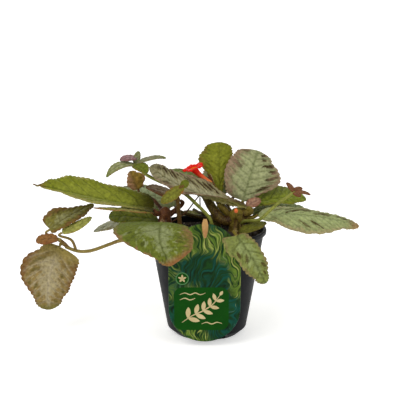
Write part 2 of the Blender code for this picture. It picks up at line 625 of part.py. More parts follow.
def make_label(group):
    """A printed plastic tag: its plate stands in front of the pot and its stake goes over the lip."""
    bm = bmesh.new()
    bmesh.ops.create_grid(bm, x_segments=20, y_segments=4, size=0.5)
    for v in bm.verts:
        v.co = label_point(v.co.x + 0.5, 2 * v.co.y) * MM
    bmesh.ops.triangulate(bm, faces=bm.faces)
    plate = add_mesh("plant_label", bm, group)
    skin = plate.modifiers.new("thickness", "SOLIDIFY")
    skin.thickness = LABEL_T * MM
    skin.offset = 0
    plate = fuse([bake(plate), tongue("stake", group, TONGUE_HALF_W, LABEL_T)])
    dress(plate, "label_print")
    return plate


def make_crown(key, group):
    """A crown's short stem with the stalks of its leaves and flowers grown to it."""
    (x, y), radius, top = CROWNS[key]
    low = SOIL_TOP - HOLE_DEPTH + GAP
    bm = bmesh.new()
    bmesh.ops.create_cone(bm, cap_ends=True, segments=12, radius1=radius * MM, radius2=radius * 0.8 * MM,
                          depth=(top - low) * MM)
    pieces = [add_mesh("stems_" + key, bm, group, (x, y, (top + low) / 2))]
    leaves = [leaf for leaf in LEAVES if leaf.crown == key]
    for i, leaf in enumerate(leaves):
        height = top - 3.0 - 5.0 * i / len(leaves)
        pieces.append(leaf_stalk(leaf, (x, y, height), group, steps=1 if key == "back" else 2))
    for owner, route, thick in FLOWER_STALKS:
        if owner == key:
            pieces.append(tube("stalk", route, thick, thick * 0.9, group))
    crown = fuse(pieces)
    dress(crown, "stem")
    return crown


def make_runner(name, group, route, radius, leaves=(), carried=(), finish="runner"):
    """A runner or shoot, with the stalks of the leaves it carries and its small leaves fused to it."""
    pieces = [tube(name, route, radius, radius * 0.85, group)]
    for leaf in carried:
        pieces.append(leaf_stalk(leaf, leaf.start, group))
    for leaf in leaves:
        pieces.append(blade(leaf, "small_leaf", group, BLADE_T + 0.1))
    made = fuse(pieces)
    dress(made, finish)
    return made


def ring_point(axis, angle):
    """Direction at an angle round an axis."""
    side = axis.cross(Vector((0, 1, 0))).normalized()
    return side * math.cos(angle) + axis.cross(side) * math.sin(angle)


def make_corolla(group):
    """A curved tube that opens into five rounded, fringed lobes."""
    lead, face = Vector(CALYX_AXIS).normalized(), Vector(FACE_AXIS).normalized()
    start = Vector(CALYX_BASE) + lead * TUBE_SEAT
    mouth = start + lead * TUBE_L * 0.75 + face * TUBE_L * 0.2
    rings, sides = TUBE_RINGS + LIMB_RINGS, LOBES * FRINGE * 2
    bm = bmesh.new()
    bmesh.ops.create_grid(bm, x_segments=rings, y_segments=sides, size=0.5)
    for v in bm.verts:
        ring, angle = (v.co.x + 0.5) * rings, 2 * math.pi * (v.co.y + 0.5)
        if ring < TUBE_RINGS + 0.01:
            f = ring / TUBE_RINGS
            spine = start * (1 - f) ** 2 + (start + lead * TUBE_L * 0.6) * 2 * f * (1 - f) + mouth * f ** 2
            radius = TUBE_R * (0.75 + 0.25 * f) + (THROAT_R - TUBE_R) * f ** 3
            v.co = (spine + ring_point(lead.lerp(face, f ** 2).normalized(), angle) * radius) * MM
        else:
            f = (ring - TUBE_RINGS) / LIMB_RINGS
            lobe = abs(math.cos(LOBES * angle / 2)) ** 0.6
            edge = LIMB_R * (0.62 + 0.38 * lobe)
            if f > 0.9:
                edge *= 1 + 0.06 * math.cos(LOBES * FRINGE * angle)
            radius = THROAT_R + (edge - THROAT_R) * f
            lift = 2.6 * math.sin(f * math.pi * 0.6) - 1.4 * f * f
            v.co = (mouth + ring_point(face, angle) * radius + face * lift) * MM
    bmesh.ops.remove_doubles(bm, verts=bm.verts, dist=MERGE)
    bmesh.ops.triangulate(bm, faces=bm.faces)
    thing = add_mesh("flower_corolla", bm, group)
    skin = thing.modifiers.new("thickness", "SOLIDIFY")
    skin.thickness = FLOWER_T * MM
    skin.offset = 0
    thing = bake(thing)
    dress(thing, "petal")
    return thing


def make_calyx(group):
    """A small cup on the flower's stalk with five narrow sepals round the tube."""
    axis = Vector(CALYX_AXIS).normalized()
    turn = axis.to_track_quat("Z", "Y")
    cup = bmesh.new()
    bmesh.ops.create_uvsphere(cup, u_segments=8, v_segments=5, radius=1.9 * MM)
    bmesh.ops.rotate(cup, verts=cup.verts, matrix=turn.to_matrix())
    pieces = [add_mesh("flower_calyx", cup, group, CALYX_BASE)]
    for i in range(SEPALS):
        angle = 2 * math.pi * (i + 0.25) / SEPALS
        out = turn @ Vector((math.cos(angle), math.sin(angle), 0))
        base = Vector(CALYX_BASE) + out * 1.2
        tip = base + axis * SEPAL_L * 0.8 + out * SEPAL_L * 0.62
        sepal = Blade("", tuple(base), tuple(tip), (SEPAL_W / 2, SEPAL_W / 2), tuple(-out), arch=-0.05,
                      teeth=2, across=1, pleat=0.0)
        pieces.append(blade(sepal, "sepal", group))
    calyx = fuse(pieces)
    dress(calyx, "sepal")
    return calyx


def make_bud(group):
    bm = bmesh.new()
    bmesh.ops.create_uvsphere(bm, u_segments=10, v_segments=7, radius=BUD_R * MM)
    bmesh.ops.scale(bm, vec=(0.85, 0.85, 1.1), verts=bm.verts)
    bud = add_mesh("flower_bud", bm, group, BUD_AT)
    dress(bud, "petal")
    return bud


def make_bract(group):
    bract = strip("dried_bract", group, BRACT_PATH, BRACT_HALF_W, BRACT_X, 0.7)
    dress(bract, "dried_leaf")
    return bract


def main():
    clear_scene()
    plant = new_collection("flame_violet")
    knives = new_collection("cutters")
    make_pot(plant, knives)
    make_soil(plant, knives)
    make_label(plant)
    for key in CROWNS:
        make_crown(key, plant)
    for leaf in LEAVES + PLANTLET_LEAVES:
        dress(blade(leaf, leaf.name, plant), leaf.colour)
    make_runner("runner_left", plant, RUNNER_LEFT, 2.0, carried=PLANTLET_LEAVES)
    make_runner("runner_top", plant, RUNNER_TOP, 1.9, leaves=RUNNER_TOP_LEAVES)
    make_runner("runner_right", plant, RUNNER_RIGHT, 1.8, leaves=RUNNER_RIGHT_LEAVES)
    make_runner("young_shoot", plant, SHOOT_STALK, 2.2, leaves=SHOOT_LEAVES, finish="stem")
    make_corolla(plant)
    make_calyx(plant)
    make_bud(plant)
    make_bract(plant)


main()
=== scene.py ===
"""Looks of a flame violet (Episcia) in a 12 cm nursery pot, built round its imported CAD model.

Lengths are in millimetres, and MM turns them into metres. Boxes, floor, lights and camera are in metres.
"""
import math
from dataclasses import dataclass

import bmesh
import bpy
import numpy as np
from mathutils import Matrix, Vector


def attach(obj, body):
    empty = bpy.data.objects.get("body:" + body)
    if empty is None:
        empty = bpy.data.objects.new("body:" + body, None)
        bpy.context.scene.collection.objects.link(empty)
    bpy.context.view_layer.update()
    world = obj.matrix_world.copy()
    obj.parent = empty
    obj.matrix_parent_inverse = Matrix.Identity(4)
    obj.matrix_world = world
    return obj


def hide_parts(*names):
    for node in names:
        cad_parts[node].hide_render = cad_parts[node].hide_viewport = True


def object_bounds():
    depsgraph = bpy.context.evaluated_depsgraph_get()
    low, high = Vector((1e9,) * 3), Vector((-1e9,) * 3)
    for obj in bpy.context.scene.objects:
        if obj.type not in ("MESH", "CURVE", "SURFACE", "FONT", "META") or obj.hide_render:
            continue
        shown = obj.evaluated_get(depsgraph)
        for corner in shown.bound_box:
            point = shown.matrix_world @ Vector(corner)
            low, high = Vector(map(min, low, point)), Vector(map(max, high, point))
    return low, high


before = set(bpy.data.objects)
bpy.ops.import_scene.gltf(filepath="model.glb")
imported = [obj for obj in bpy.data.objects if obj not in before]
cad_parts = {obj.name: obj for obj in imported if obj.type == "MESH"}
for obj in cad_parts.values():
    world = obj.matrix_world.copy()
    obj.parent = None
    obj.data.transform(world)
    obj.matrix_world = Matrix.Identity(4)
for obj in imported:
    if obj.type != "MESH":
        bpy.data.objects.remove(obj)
cad_box = [list(corner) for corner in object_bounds()]

MM = 0.001
RNG = np.random.default_rng(7)

# Pot
POT_HEIGHT = 108.0
POT_LIP_R = 60.0
POT_LIP_H = 4.5
POT_WALL_TOP_R = 57.4
POT_WALL_LOW_R = 40.3
POT_WALL_LOW_Z = 6.5
POT_FOOT_R = 33.0
POT_WALL_T = 1.1
POT_FLOOR_T = 1.6
POT_CORNER_R = 0.8
NOTCHES = 8
NOTCH_W = 11.0
NOTCH_TOP = 5.4
NOTCH_CORNER_R = 1.6
SOIL_TOP = 103.0
SOIL_GAP = 0.5
CRUMBS = 420

# Crowns: place of the axis, radius at the soil and height of the top
CROWNS = {
    "left": ((-42.0, -2.0), 7.0, 126.0),
    "right": ((30.0, 0.0), 8.3, 124.0),
    "back": ((10.0, 26.0), 5.0, 114.0),
}
CROWN_DEPTH = 15.0

# Label
LABEL_X = -2.6
LABEL_Y = -61.2
LABEL_HALF_W = 34.7
LABEL_LOW_Z = 5.5
LABEL_TOP_Z = 126.5
LABEL_LOW_ARC = 35.0
LABEL_TOP_ARC = 38.0
LABEL_LEAN = 10.0
LABEL_LEAN_FROM = 101.0
LABEL_T = 0.8
TONGUE_HALF_W = 7.0
TONGUE_PATH = ((-61.2, 119.0), (-60.9, 114.5), (-59.6, 110.6), (-57.4, 110.0),
               (-55.2, 108.2), (-53.6, 100.0), (-51.4, 88.0), (-48.8, 74.0))

# Print on the label: x from its middle, then z
PANEL = {"x": -3.0, "z": 40.5, "half_w": 26.5, "half_h": 22.5, "corner": 8.0}
SPRIG = ((-22, 26.0), (-12.5, 33.0), (-1.5, 38.5), (8.0, 45.5), (15.0, 55.0))
SPRIG_END = (14.8, 54.6)
WAVES = (
    ((-3, 24.5), (2, 26.3), (7, 24.5), (12, 26.3), (17, 25.0)),
    ((-24, 55.5), (-19, 57.3), (-14, 55.5), (-9, 57.3), (-4, 55.5), (1, 57.3)),
    ((-24, 50.0), (-19, 51.8), (-14, 50.0), (-9, 51.8)),
)
BADGE = (-21.5, 72.0)
BADGE_R = 6.4
BADGE_RIM = 1.0

# Leaves
BLADE_T = 0.7
VEIN_SWEEP = 0.09
END_HALF_W = 0.5
STALK_SEAT = 0.9
STALK_DROP = 0.5

# Relief of a large blade
QUILT_H = 0.85
CELL_H = 0.34
GRAIN_H = 0.3
BRANCH_H = 0.22
VEIN_H = 0.55
RIB_H = 0.7
SWELL_H = 2.2
WAVE_H = 0.55
UNDER_VEIN_H = 0.45
UNDER_RIB_H = 0.85
TOOTH = 4.3
TOOTH_H = 1.65
TOOTH_LIFT = 0.4

# Hairs: width, and how many to a square millimetre of blade or a millimetre of leaf or stalk length
HAIR_W = 0.07
STALK_HAIR_W = 0.09
BLADE_HAIRS = 0.42
FRINGE_HAIRS = 5
STALK_HAIRS = 9
CROWN_HAIRS = 6


@dataclass
class Blade:
    """One leaf blade. Pairs are (left side, right side), seen from base to tip."""
    name: str
    base: tuple
    tip: tuple
    half: tuple
    face: tuple = (0.0, -0.2, 1.0)
    widths: tuple = ()
    arch: float = 0.06
    bend: float = 0.0
    fold: tuple = (10.0, 10.0)
    curl: tuple = (20.0, 20.0)
    rise: tuple = (0.0, 0.0)
    root: tuple = (0.5, 0.5)
    point: tuple = (0.55, 0.55)
    lobe: tuple = (0.04, 0.04)
    crown: str = ""
    start: tuple = ()
    via: tuple = ()
    stem: tuple = (2.0, 1.2)
    look: str = "back"
    fine: float = 1.0


LEAVES = (
    Blade("leaf_far_left", (-53.9, -8, 129.1), (-170.8, -20, 156.7), (28, 25), (0, -0.22, 1),
          widths=((10, 15, 20, 27, 14, 2.5), (20, 21.5, 23, 24.5, 23.5, 13.5)), arch=-0.01, fold=(22, 32),
          point=(1.5, 4.0), lobe=(0.05, 0.05), crown="left", stem=(2.6, 1.5), look="far_left"),
    Blade("leaf_far_left_lower", (-55.1, -4, 125.2), (-110.0, -36, 136.4), (15, 5), (0, 0.06, 1), arch=0.02,
          fold=(5, 5), crown="left", look="orange_brown"),
    Blade("leaf_front_left", (-41.9, -66, 128.9), (-33.2, -112, 99.6), (31, 44), (0, -0.5, 1),
          widths=((26, 30, 31, 31, 30, 27), (41.5, 43.5, 37, 25.5, 16, 8)), arch=0.12, bend=0.12,
          fold=(12, 0), curl=(30, 5), point=(0.5, 0.8), lobe=(0.05, 0.1), crown="left",
          via=((-43.5, -24, 117), (-43, -48, 125.5)), stem=(2.6, 1.2), look="front_left"),
    Blade("leaf_left_dark", (-50.0, 8, 113.4), (-99.1, 4, 118.0), (14, 20), (0, -0.3, 1), arch=0.05,
          point=(0.4, 0.4), crown="left", look="left_dark"),
    Blade("leaf_left_pale", (-58.7, 26, 115.0), (-115.9, 14, 100.5), (16, 16), (0, -0.05, 1), arch=0.04,
          crown="left", via=((-50, 17, 111.6),), look="left_pale"),
    Blade("leaf_centre_long", (40.3, 0, 128.6), (-57.0, -8, 171.1), (18, 35), (0, -0.25, 1),
          widths=((8, 8, 8, 10.5, 14, 15), (9, 17, 24.5, 23, 18, 15)), arch=-0.06, fold=(2, 26),
          curl=(15, 20), rise=(65, 0), lobe=(0.0, 0.0), crown="right", stem=(5.0, 3.0), look="centre_long"),
    Blade("leaf_upright_green", (13.3, 36, 136.8), (12.9, 56, 186.4), (21, 14), (0, -1, 0.2),
          widths=((4, 9, 15, 21, 21, 15.5), (4, 5, 6.5, 10, 14, 13.5)), arch=0.1, crown="right",
          look="upright_green"),
    Blade("leaf_upright_silver", (37.3, 26, 130.5), (52.9, 48, 178.7), (27, 32), (0, -1, 0.2),
          widths=((21, 25, 27, 26.5, 25, 21.5), (12.5, 22, 29.5, 31.5, 27, 17.5)), arch=0.08, curl=(25, 25),
          root=(0.3, 0.4), lobe=(0.0, 0.0), crown="right", via=((33.5, 10, 123), (36.6, 19, 128)),
          stem=(2.6, 1.6), look="upright_silver"),
    Blade("leaf_right_green", (45.0, 29, 125.5), (103.6, 44, 129.3), (26, 16), (0, -0.3, 1),
          widths=((10, 15, 19, 23, 25.5, 21), (8, 10, 10, 12, 13, 10)), crown="right", look="right_green"),
    Blade("leaf_far_right", (51.9, -1, 121.3), (151.7, -12, 112.3), (27, 32), (0, -0.22, 1),
          widths=((24, 24.5, 22, 19.5, 16.5, 14.5), (14, 25, 32, 31.5, 25.5, 12)), arch=0.055, fold=(2, 2),
          root=(0.45, 0.6), point=(0.65, 0.65), lobe=(0.02, 0.0), crown="right", look="far_right"),
    Blade("leaf_front_right", (27.9, -68, 116.3), (54.1, -88, 75.9), (12, 17), (0, -1, 0.4),
          widths=((9.5, 11.5, 11.5, 11.5, 10.5, 6.5), (14.5, 17, 13, 13, 11.5, 7.5)), arch=0.08, bend=-0.02,
          fold=(5, 8), lobe=(0.04, 0.26), crown="right", via=((27.5, -28, 113.5), (27.5, -50, 116.5)),
          stem=(2.2, 1.3), look="front_right"),
    Blade("leaf_right_low", (33.3, -28, 109.4), (57.9, -10, 116.4), (11, 11), (0, 0, 1), arch=0.05,
          fold=(5, 5), crown="right", via=((33.0, -16, 108.6),), look="right_low"),
    Blade("leaf_left_tan", (-71.2, 34, 140.9), (-79.4, 36, 159.2), (8, 12), (0, -1, 0.3),
          widths=((6, 8, 8.5, 7.5, 6, 4), (7, 10, 12, 12, 9.5, 5.5)), crown="left",
          via=((-46, 18, 122), (-56, 30, 131)), stem=(2.6, 1.2), look="left_tan"),
    Blade("leaf_brown_silver", (-27.3, 10, 134.4), (-61.3, 4, 149.0), (13, 13), (0, -0.2, 1), crown="left",
          via=((-32, 5, 125),), stem=(3.4, 1.6), look="brown_silver"),
    Blade("leaf_pink_small", (41.0, 16, 126.3), (55.0, 22, 132.6), (6.5, 6.5), (0, -0.6, 1), crown="right",
          look="pink"),
    Blade("leaf_back_centre", (-10.0, 34, 141.5), (-40.0, 86, 152.0), (17, 17), (0, -0.1, 1), crown="right",
          via=((16, 3, 115), (5, 11, 127), (-2, 22, 137)), stem=(6.5, 3.2)),
    Blade("leaf_back_upper_left", (11.0, 52, 128.0), (9.0, 102, 154.0), (15, 15), (0, -0.2, 1),
          crown="back", via=((14, 40, 119),), look="back_silver"),
    Blade("leaf_back_upper_right", (43.0, 44, 137.0), (55.0, 98, 150.0), (21, 21), (0, -0.1, 1),
          crown="back", via=((22, 33, 125), (31, 38, 134))),
    Blade("leaf_back_left", (-34.0, 44, 121.0), (-108.0, 92, 126.0), (23, 23), (-0.1, -0.1, 1), arch=0.08,
          crown="back", via=((-10, 33, 112),), look="back_silver"),
    Blade("leaf_back_right", (50.0, 40, 111.8), (126.0, 84, 99.0), (22, 22), (0, -0.1, 1), arch=0.12,
          crown="back", via=((26, 33, 112), (40, 36, 113))),
    Blade("leaf_back_hanging_left", (-14.0, 67, 110.4), (-24.0, 92, 58.0), (20, 20), (0, 1, 0.6), arch=0.05,
          crown="back", via=((0, 44, 111), (-9, 58, 111.2)), look="back_silver"),
    Blade("leaf_back_hanging_right", (26.0, 66, 110.6), (36.0, 96, 55.0), (22, 22), (0, 1, 0.6), arch=0.08,
          crown="back", via=((19, 44, 111), (24, 56, 111.4))),
    Blade("leaf_back_low_left", (-47.0, 60, 111.0), (-80.0, 116, 97.0), (21, 21), (0, -0.1, 1), arch=0.12,
          crown="back", via=((-18, 40, 112), (-34, 50, 112.4)), look="left_dark"),
)

RUNNER_LEFT = ((-46.7, -8.2, 107.2), (-48.2, -10.2, 108.6), (-57.0, -13.0, 112.2), (-66, -11, 109.5),
               (-75, -7, 101.8), (-83, -3, 96.4), (-91.3, 0, 93.5), (-100.7, 0, 89.9), (-117.8, -4, 84.9),
               (-130.6, -6, 85.2), (-142.0, -8, 90.0))
PLANTLET_LEAVES = (
    Blade("plantlet_leaf_large", (-147.3, -12, 90.9), (-157.7, -26, 30.0), (25, 30), (0, -1, 0.2),
          widths=((24.5, 25, 24.5, 22.5, 20.5, 14), (17.5, 28, 30.5, 27.5, 19.5, 13.5)), bend=0.08,
          fold=(6, 6), start=(-139, -7.4, 88.7), look="plantlet_large"),
    Blade("plantlet_leaf_upper", (-157.4, -8, 108.5), (-115.1, 10, 130.0), (21, 13), (-0.2, -0.6, 1),
          widths=((19, 21, 16.5, 10.5, 6.5, 3), (10, 12, 12.5, 13, 11.5, 6.5)), arch=0.05, fold=(15, 15),
          lobe=(0.1, 0.1), start=(-139, -7.4, 88.7), via=((-147, -8, 97),), look="plantlet_upper"),
    Blade("plantlet_leaf_narrow", (-144.2, -14, 106.8), (-114.8, -12, 121.4), (7, 6), (0, -0.6, 1),
          arch=-0.05, root=(0.4, 0.4), start=(-132, -6.3, 85.8), via=((-136, -10, 97.6),), look="fresh"),
    Blade("plantlet_leaf_orange", (-148.4, -20, 101.7), (-169.1, -24, 100.2), (9, 9), (0, -0.4, 1),
          arch=0.05, root=(0.4, 0.4), point=(0.4, 0.4), start=(-145.6, -8.6, 95.0), via=((-149, -14, 99),),
          look="orange"),
)

RUNNER_TOP = ((5.5, -8, 84), (5.5, -8, 100), (4.9, -8, 113), (1.0, -8, 121.9), (-11.2, -4, 133.7),
              (-22.3, -1, 143.3), (-31.7, -1, 149.2), (-49.0, -5, 157.3), (-60.6, -8, 164.3),
              (-72.0, -8, 174.0))
RUNNER_TOP_LEAVES = (
    Blade("", (-71.0, -8, 173.6), (-99.0, -16, 163.1), (7, 8), (0, -0.3, 1), arch=0.2, look="top_silver"),
    Blade("", (-70.0, -5.8, 180.2), (-86.0, -10, 179.0), (6, 6), (0, -0.4, 1), arch=0.08, look="top_pink"),
    Blade("", (-71.0, -7, 174.4), (-40.6, -8, 180.6), (6, 6), (0, -0.2, 1), arch=0.1, look="top_right"),
    Blade("", (-71.4, -8.5, 174.0), (-58.5, -25, 168.9), (7, 7), (0, -0.6, 1), arch=0.12, look="top_green"),
    Blade("", (-71.4, -7, 174.4), (-67.6, -3, 186.6), (3.5, 3.5), (0, -1, 0.2), look="top_right"),
)

RUNNER_RIGHT = ((34.8, -8.2, 114.6), (37.6, -12.0, 117.5), (43.0, -17.0, 119.2), (49.0, -20.5, 120.4),
                (54.2, -21.0, 122.8), (62.2, -18.0, 129.8), (70.3, -14.0, 136.0), (78.7, -8.0, 140.3),
                (87.3, -2.0, 145.4))
RUNNER_RIGHT_LEAVES = (
    Blade("", (87.0, -2.5, 145.6), (79.1, -5, 155.2), (2.6, 2.6), (0, -0.9, 0.5), arch=0.1,
          look="red_brown"),
    Blade("", (87.2, -2.0, 145.4), (103.3, -5, 142.9), (2.5, 2.5), (0, -0.6, 1), arch=0.1,
          look="red_brown"),
    Blade("", (86.8, -2.5, 145.2), (92.9, -10, 142.0), (3.2, 3.2), (0, -0.8, 1), look="red_brown"),
    Blade("", (86.8, -1.5, 145.6), (95.6, 4, 148.2), (3.4, 3.4), (0, -0.8, 1), look="red_brown"),
)

SHOOT_STALK = ((-27, -16, 84), (-27, -16, 104), (-27.3, -17, 118), (-28.7, -20, 135.8), (-29.3, -22, 149),
               (-26.2, -22, 153.4), (-23.0, -22, 155.4))
SHOOT_LEAVES = (
    Blade("", (-23.6, -22.4, 154.4), (-44.8, -28, 139.5), (6.5, 6.5), (0, -0.9, 0.8), arch=0.05,
          fold=(5, 5), look="shoot"),
    Blade("", (-25.2, -22.4, 154.2), (-18.6, -21.5, 160.4), (4, 4), (0, -1, 0.3), look="top_green"),
)

FLOWER_STALKS = (
    ("left", ((-41.5, -1, 110), (-34, 2, 114.5), (-21.4, 4, 122.8), (-9.2, 10, 137.2), (-3, 13, 141)), 0.7),
    ("back", ((9.0, 25, 108), (3.0, 18, 113), (-5.8, 11, 124.5), (-7.1, 12, 136.5)), 0.7),
    ("right", ((28, 3, 114), (22, 20, 127), (15, 26, 137), (8.35, 31.8, 145.1)), 1.0),
    ("right", ((29, -3, 114), (29.0, -9, 120), (28.8, -11.4, 124.8)), 0.9),
    ("right", ((29, 3, 116), (20, 3, 123), (12.5, 4, 131)), 3.6),
)

CALYX_BASE = (6.4, 32, 146.8)
CALYX_AXIS = (-0.84, -0.1, 0.53)
SEPALS = 5
SEPAL_L = 11.0
SEPAL_W = 2.6
FACE_AXIS = (-0.3, -0.12, 0.94)
TUBE_L = 26.0
TUBE_SEAT = 2.05
TUBE_R = 2.2
THROAT_R = 3.9
LIMB_R = 11.2
LOBES = 5
PETAL_T = 0.7
BUD_AT = (28.8, -11.9, 128.0)
BUD_R = 2.3

BRACT_PATH = ((-46.0, 92.0), (-46.5, 104.0), (-50.5, 117.0), (-57.0, 128.4), (-62.0, 130.6), (-64.4, 126.0),
              (-65.0, 119.5), (-64.8, 113.6))
BRACT_HALF_W = (1.0, 1.0, 1.0, 1.1, 1.6, 3.1, 2.5, 0.7)
BRACT_X = -2.2
BRACT_T = 0.7

# Floor, lights and camera, in metres
FLOOR_HALF_W = 4.0
FLOOR_FRONT = -2.5
FLOOR_BACK = 3.0
FLOOR_BEND_R = 0.6
BACKDROP_TOP = 3.0
LIGHT_SIZE = 0.9
LIT_PLACE = (0, 0, 0.1)
SENSOR_W = 36.0
FOCAL_PX = 1018
IMAGE_PX = 400
CAMERA_AT = (-0.007, -1.0, 0.35)
CAMERA_DOWN_DEG = 12.05


@dataclass
class Look:
    """Colours of a leaf, as sRGB hex codes, and how its markings lie on it."""
    ground: str
    centre: str
    blotch: str
    margin: str
    vein: str
    under: str = "7c7a38"
    centre_reach: float = 0.42
    blotch_at: float = 0.62
    blotch_amount: float = 0.5
    margin_width: tuple = (0.14, 0.14)
    # base: colour laid over the blade near its stalk; far_left's near-black one is painted shade by the
    # crown
    base: str = ""
    tip: str = ""
    fleck: float = 0.3
    spacing: float = 12.0
    sweep: float = 0.7
    dashes: float = 0.0
    dash_sides: tuple = (1.0, 1.0)
    dash_size: float = 1.0


LOOKS = {
    # far_left's near-black base colour is painted shade where the blade goes into the crown
    "far_left": Look("747a1c", "80862a", "5a6012", "928a4a", "3e4a06", base="3a3804", tip="6e4626",
                     blotch_amount=0.1, centre_reach=0.5, margin_width=(0.30, 0.04), fleck=0.1,
                     spacing=17.0, sweep=1.5),
    "orange_brown": Look("868036", "8c8842", "6c5c20", "8a5a2c", "6a5e24", tip="8a5428", blotch_amount=0.3),
    "front_left": Look("5f681e", "82895a", "484e14", "80603c", "454e12", centre_reach=0.3, base="56621a",
                       tip="80552f", blotch_amount=0.35, margin_width=(0.3, 0.07), fleck=1.0, spacing=16.0,
                       sweep=0.9),
    "left_dark": Look("768022", "848c30", "566818", "766c30", "586a18", blotch_amount=0.3),
    "left_pale": Look("bebea0", "cacab2", "90926c", "8c7c58", "888a64", blotch_amount=0.2),
    "centre_long": Look("8c8560", "9c9876", "3a2a10", "866857", "4a4618", centre_reach=0.4,
                        blotch_amount=0.6, margin_width=(0.3, 0.14), base="46320f", tip="958e6a",
                        under="7e782a", spacing=8.0, sweep=1.8, dashes=0.95, dash_sides=(0.7, 1.0),
                        dash_size=1.3),
    "upright_green": Look("70741a", "7c8024", "565a0e", "6c5c20", "5e6212", blotch_amount=0.25, sweep=0.8),
    "upright_silver": Look("8a8c64", "969a6e", "38290f", "8a6c58", "6c7448", centre_reach=0.62,
                           blotch_at=0.64, blotch_amount=0.6, margin_width=(0.42, 0.2), spacing=7.4,
                           sweep=1.05, dashes=0.95, dash_sides=(0.5, 1.0), dash_size=1.35),
    "right_green": Look("6c761c", "788226", "525a0e", "6e6820", "545e10", blotch_amount=0.3, spacing=11.0,
                        sweep=0.8),
    "far_right": Look("949b66", "9ca66e", "4a3c18", "9a8a64", "707a4a", centre_reach=0.5, tip="9c7c50",
                      blotch_at=0.46, blotch_amount=0.4, margin_width=(0.14, 0.16), spacing=7.4, sweep=1.2,
                      dashes=0.95, dash_sides=(1.0, 0.35), dash_size=1.3),
    "front_right": Look("727a3c", "848e56", "463e1a", "7a6844", "4e5626", blotch_at=0.5, blotch_amount=0.4,
                        spacing=8.5, sweep=1.0, dashes=0.7, dash_sides=(1.0, 0.4), dash_size=1.1),
    "right_low": Look("5a5a16", "66681e", "46440e", "5e4a1a", "4c4c10", blotch_amount=0.3),
    "left_tan": Look("7c6420", "8a6c2c", "6a5a12", "9c7458", "6a5620", blotch_amount=0.4, fleck=0.4,
                     margin_width=(0.95, 0.12)),
    "brown_silver": Look("7c6440", "a08c6c", "563e1c", "6a3e20", "644a2a", margin_width=(0.35, 0.15)),
    "pink": Look("9a7056", "a8846a", "745040", "7c4c3c", "785648"),
    "plantlet_large": Look("7c6838", "968a66", "5c5020", "66421e", "a2967a", centre_reach=0.4,
                           base="8c7c42", tip="66602a", blotch_at=0.6, blotch_amount=0.7,
                           margin_width=(0.2, 0.2), fleck=0.9, spacing=7.5, sweep=0.8, dashes=0.8,
                           dash_size=0.8),
    "plantlet_upper": Look("726c2c", "88865a", "54501c", "6e4822", "605a20", margin_width=(0.3, 0.3),
                           fleck=0.5),
    "fresh": Look("98984a", "a0a054", "7c7c2e", "8c7836", "80823a", blotch_amount=0.2),
    "orange": Look("8c6030", "986c3c", "6e4622", "7e4a26", "6e4a22"),
    "top_silver": Look("808450", "94946e", "5c661a", "7c6e4a", "646c2a", under="5e641a", tip="58640c",
                       centre_reach=0.6),
    "top_pink": Look("8c686a", "a08484", "664a48", "6c4440", "6e5450"),
    "top_right": Look("7e7e54", "90887a", "5a6230", "6e6048", "646a38", tip="5e661c"),
    "top_green": Look("606818", "6c7420", "4a5210", "6a5a22", "525a14"),
    "red_brown": Look("744228", "946a4a", "583018", "68381e", "5c3a22", centre_reach=0.6),
    "shoot": Look("6c6a20", "787a28", "5c5018", "8a5426", "5c5a1a", under="6c6c24"),
    "back": Look("5c6822", "78854a", "464a16", "725a30", "4c521a", centre_reach=0.3, spacing=13.0,
                 sweep=0.9),
    "back_silver": Look("7c8458", "8e9870", "40331a", "826c4c", "646c38", centre_reach=0.5, blotch_at=0.6,
                        spacing=8.5, sweep=1.0, dashes=0.8, dash_size=1.2),
}


# Colour and noise
def linear(code):
    """The linear colour of an sRGB hex code."""
    values = [int(code[i:i + 2], 16) / 255 for i in (0, 2, 4)]
    return tuple(v / 12.92 if v <= 0.04045 else ((v + 0.055) / 1.055) ** 2.4 for v in values) + (1.0,)


LATTICE = RNG.random((32, 32, 32))


def noise(points, size, shift=0.0):
    """Smooth random values, 0 to 1, that vary over a distance of size."""
    p = np.asarray(points) / size + shift
    low = np.floor(p).astype(int)
    f = p - low
    f = f * f * (3 - 2 * f)
    total = 0.0
    for corner in np.ndindex(2, 2, 2):
        x, y, z = np.moveaxis((low + corner) % len(LATTICE), -1, 0)
        total = total + np.where(corner, f, 1 - f).prod(-1) * LATTICE[x, y, z]
    return total


def step(low, high, x):
    """Smooth change from 0 at low to 1 at high."""
    x = np.clip((x - low) / (high - low), 0, 1)
    return x * x * (3 - 2 * x)


def unit(v):
    """The same directions at length one."""
    v = np.asarray(v, float)
    return v / np.maximum(np.linalg.norm(v, axis=-1, keepdims=True), 1e-12)


def circle(count):
    """Angles evenly round a circle."""
    return np.linspace(0, 2 * math.pi, count, endpoint=False)


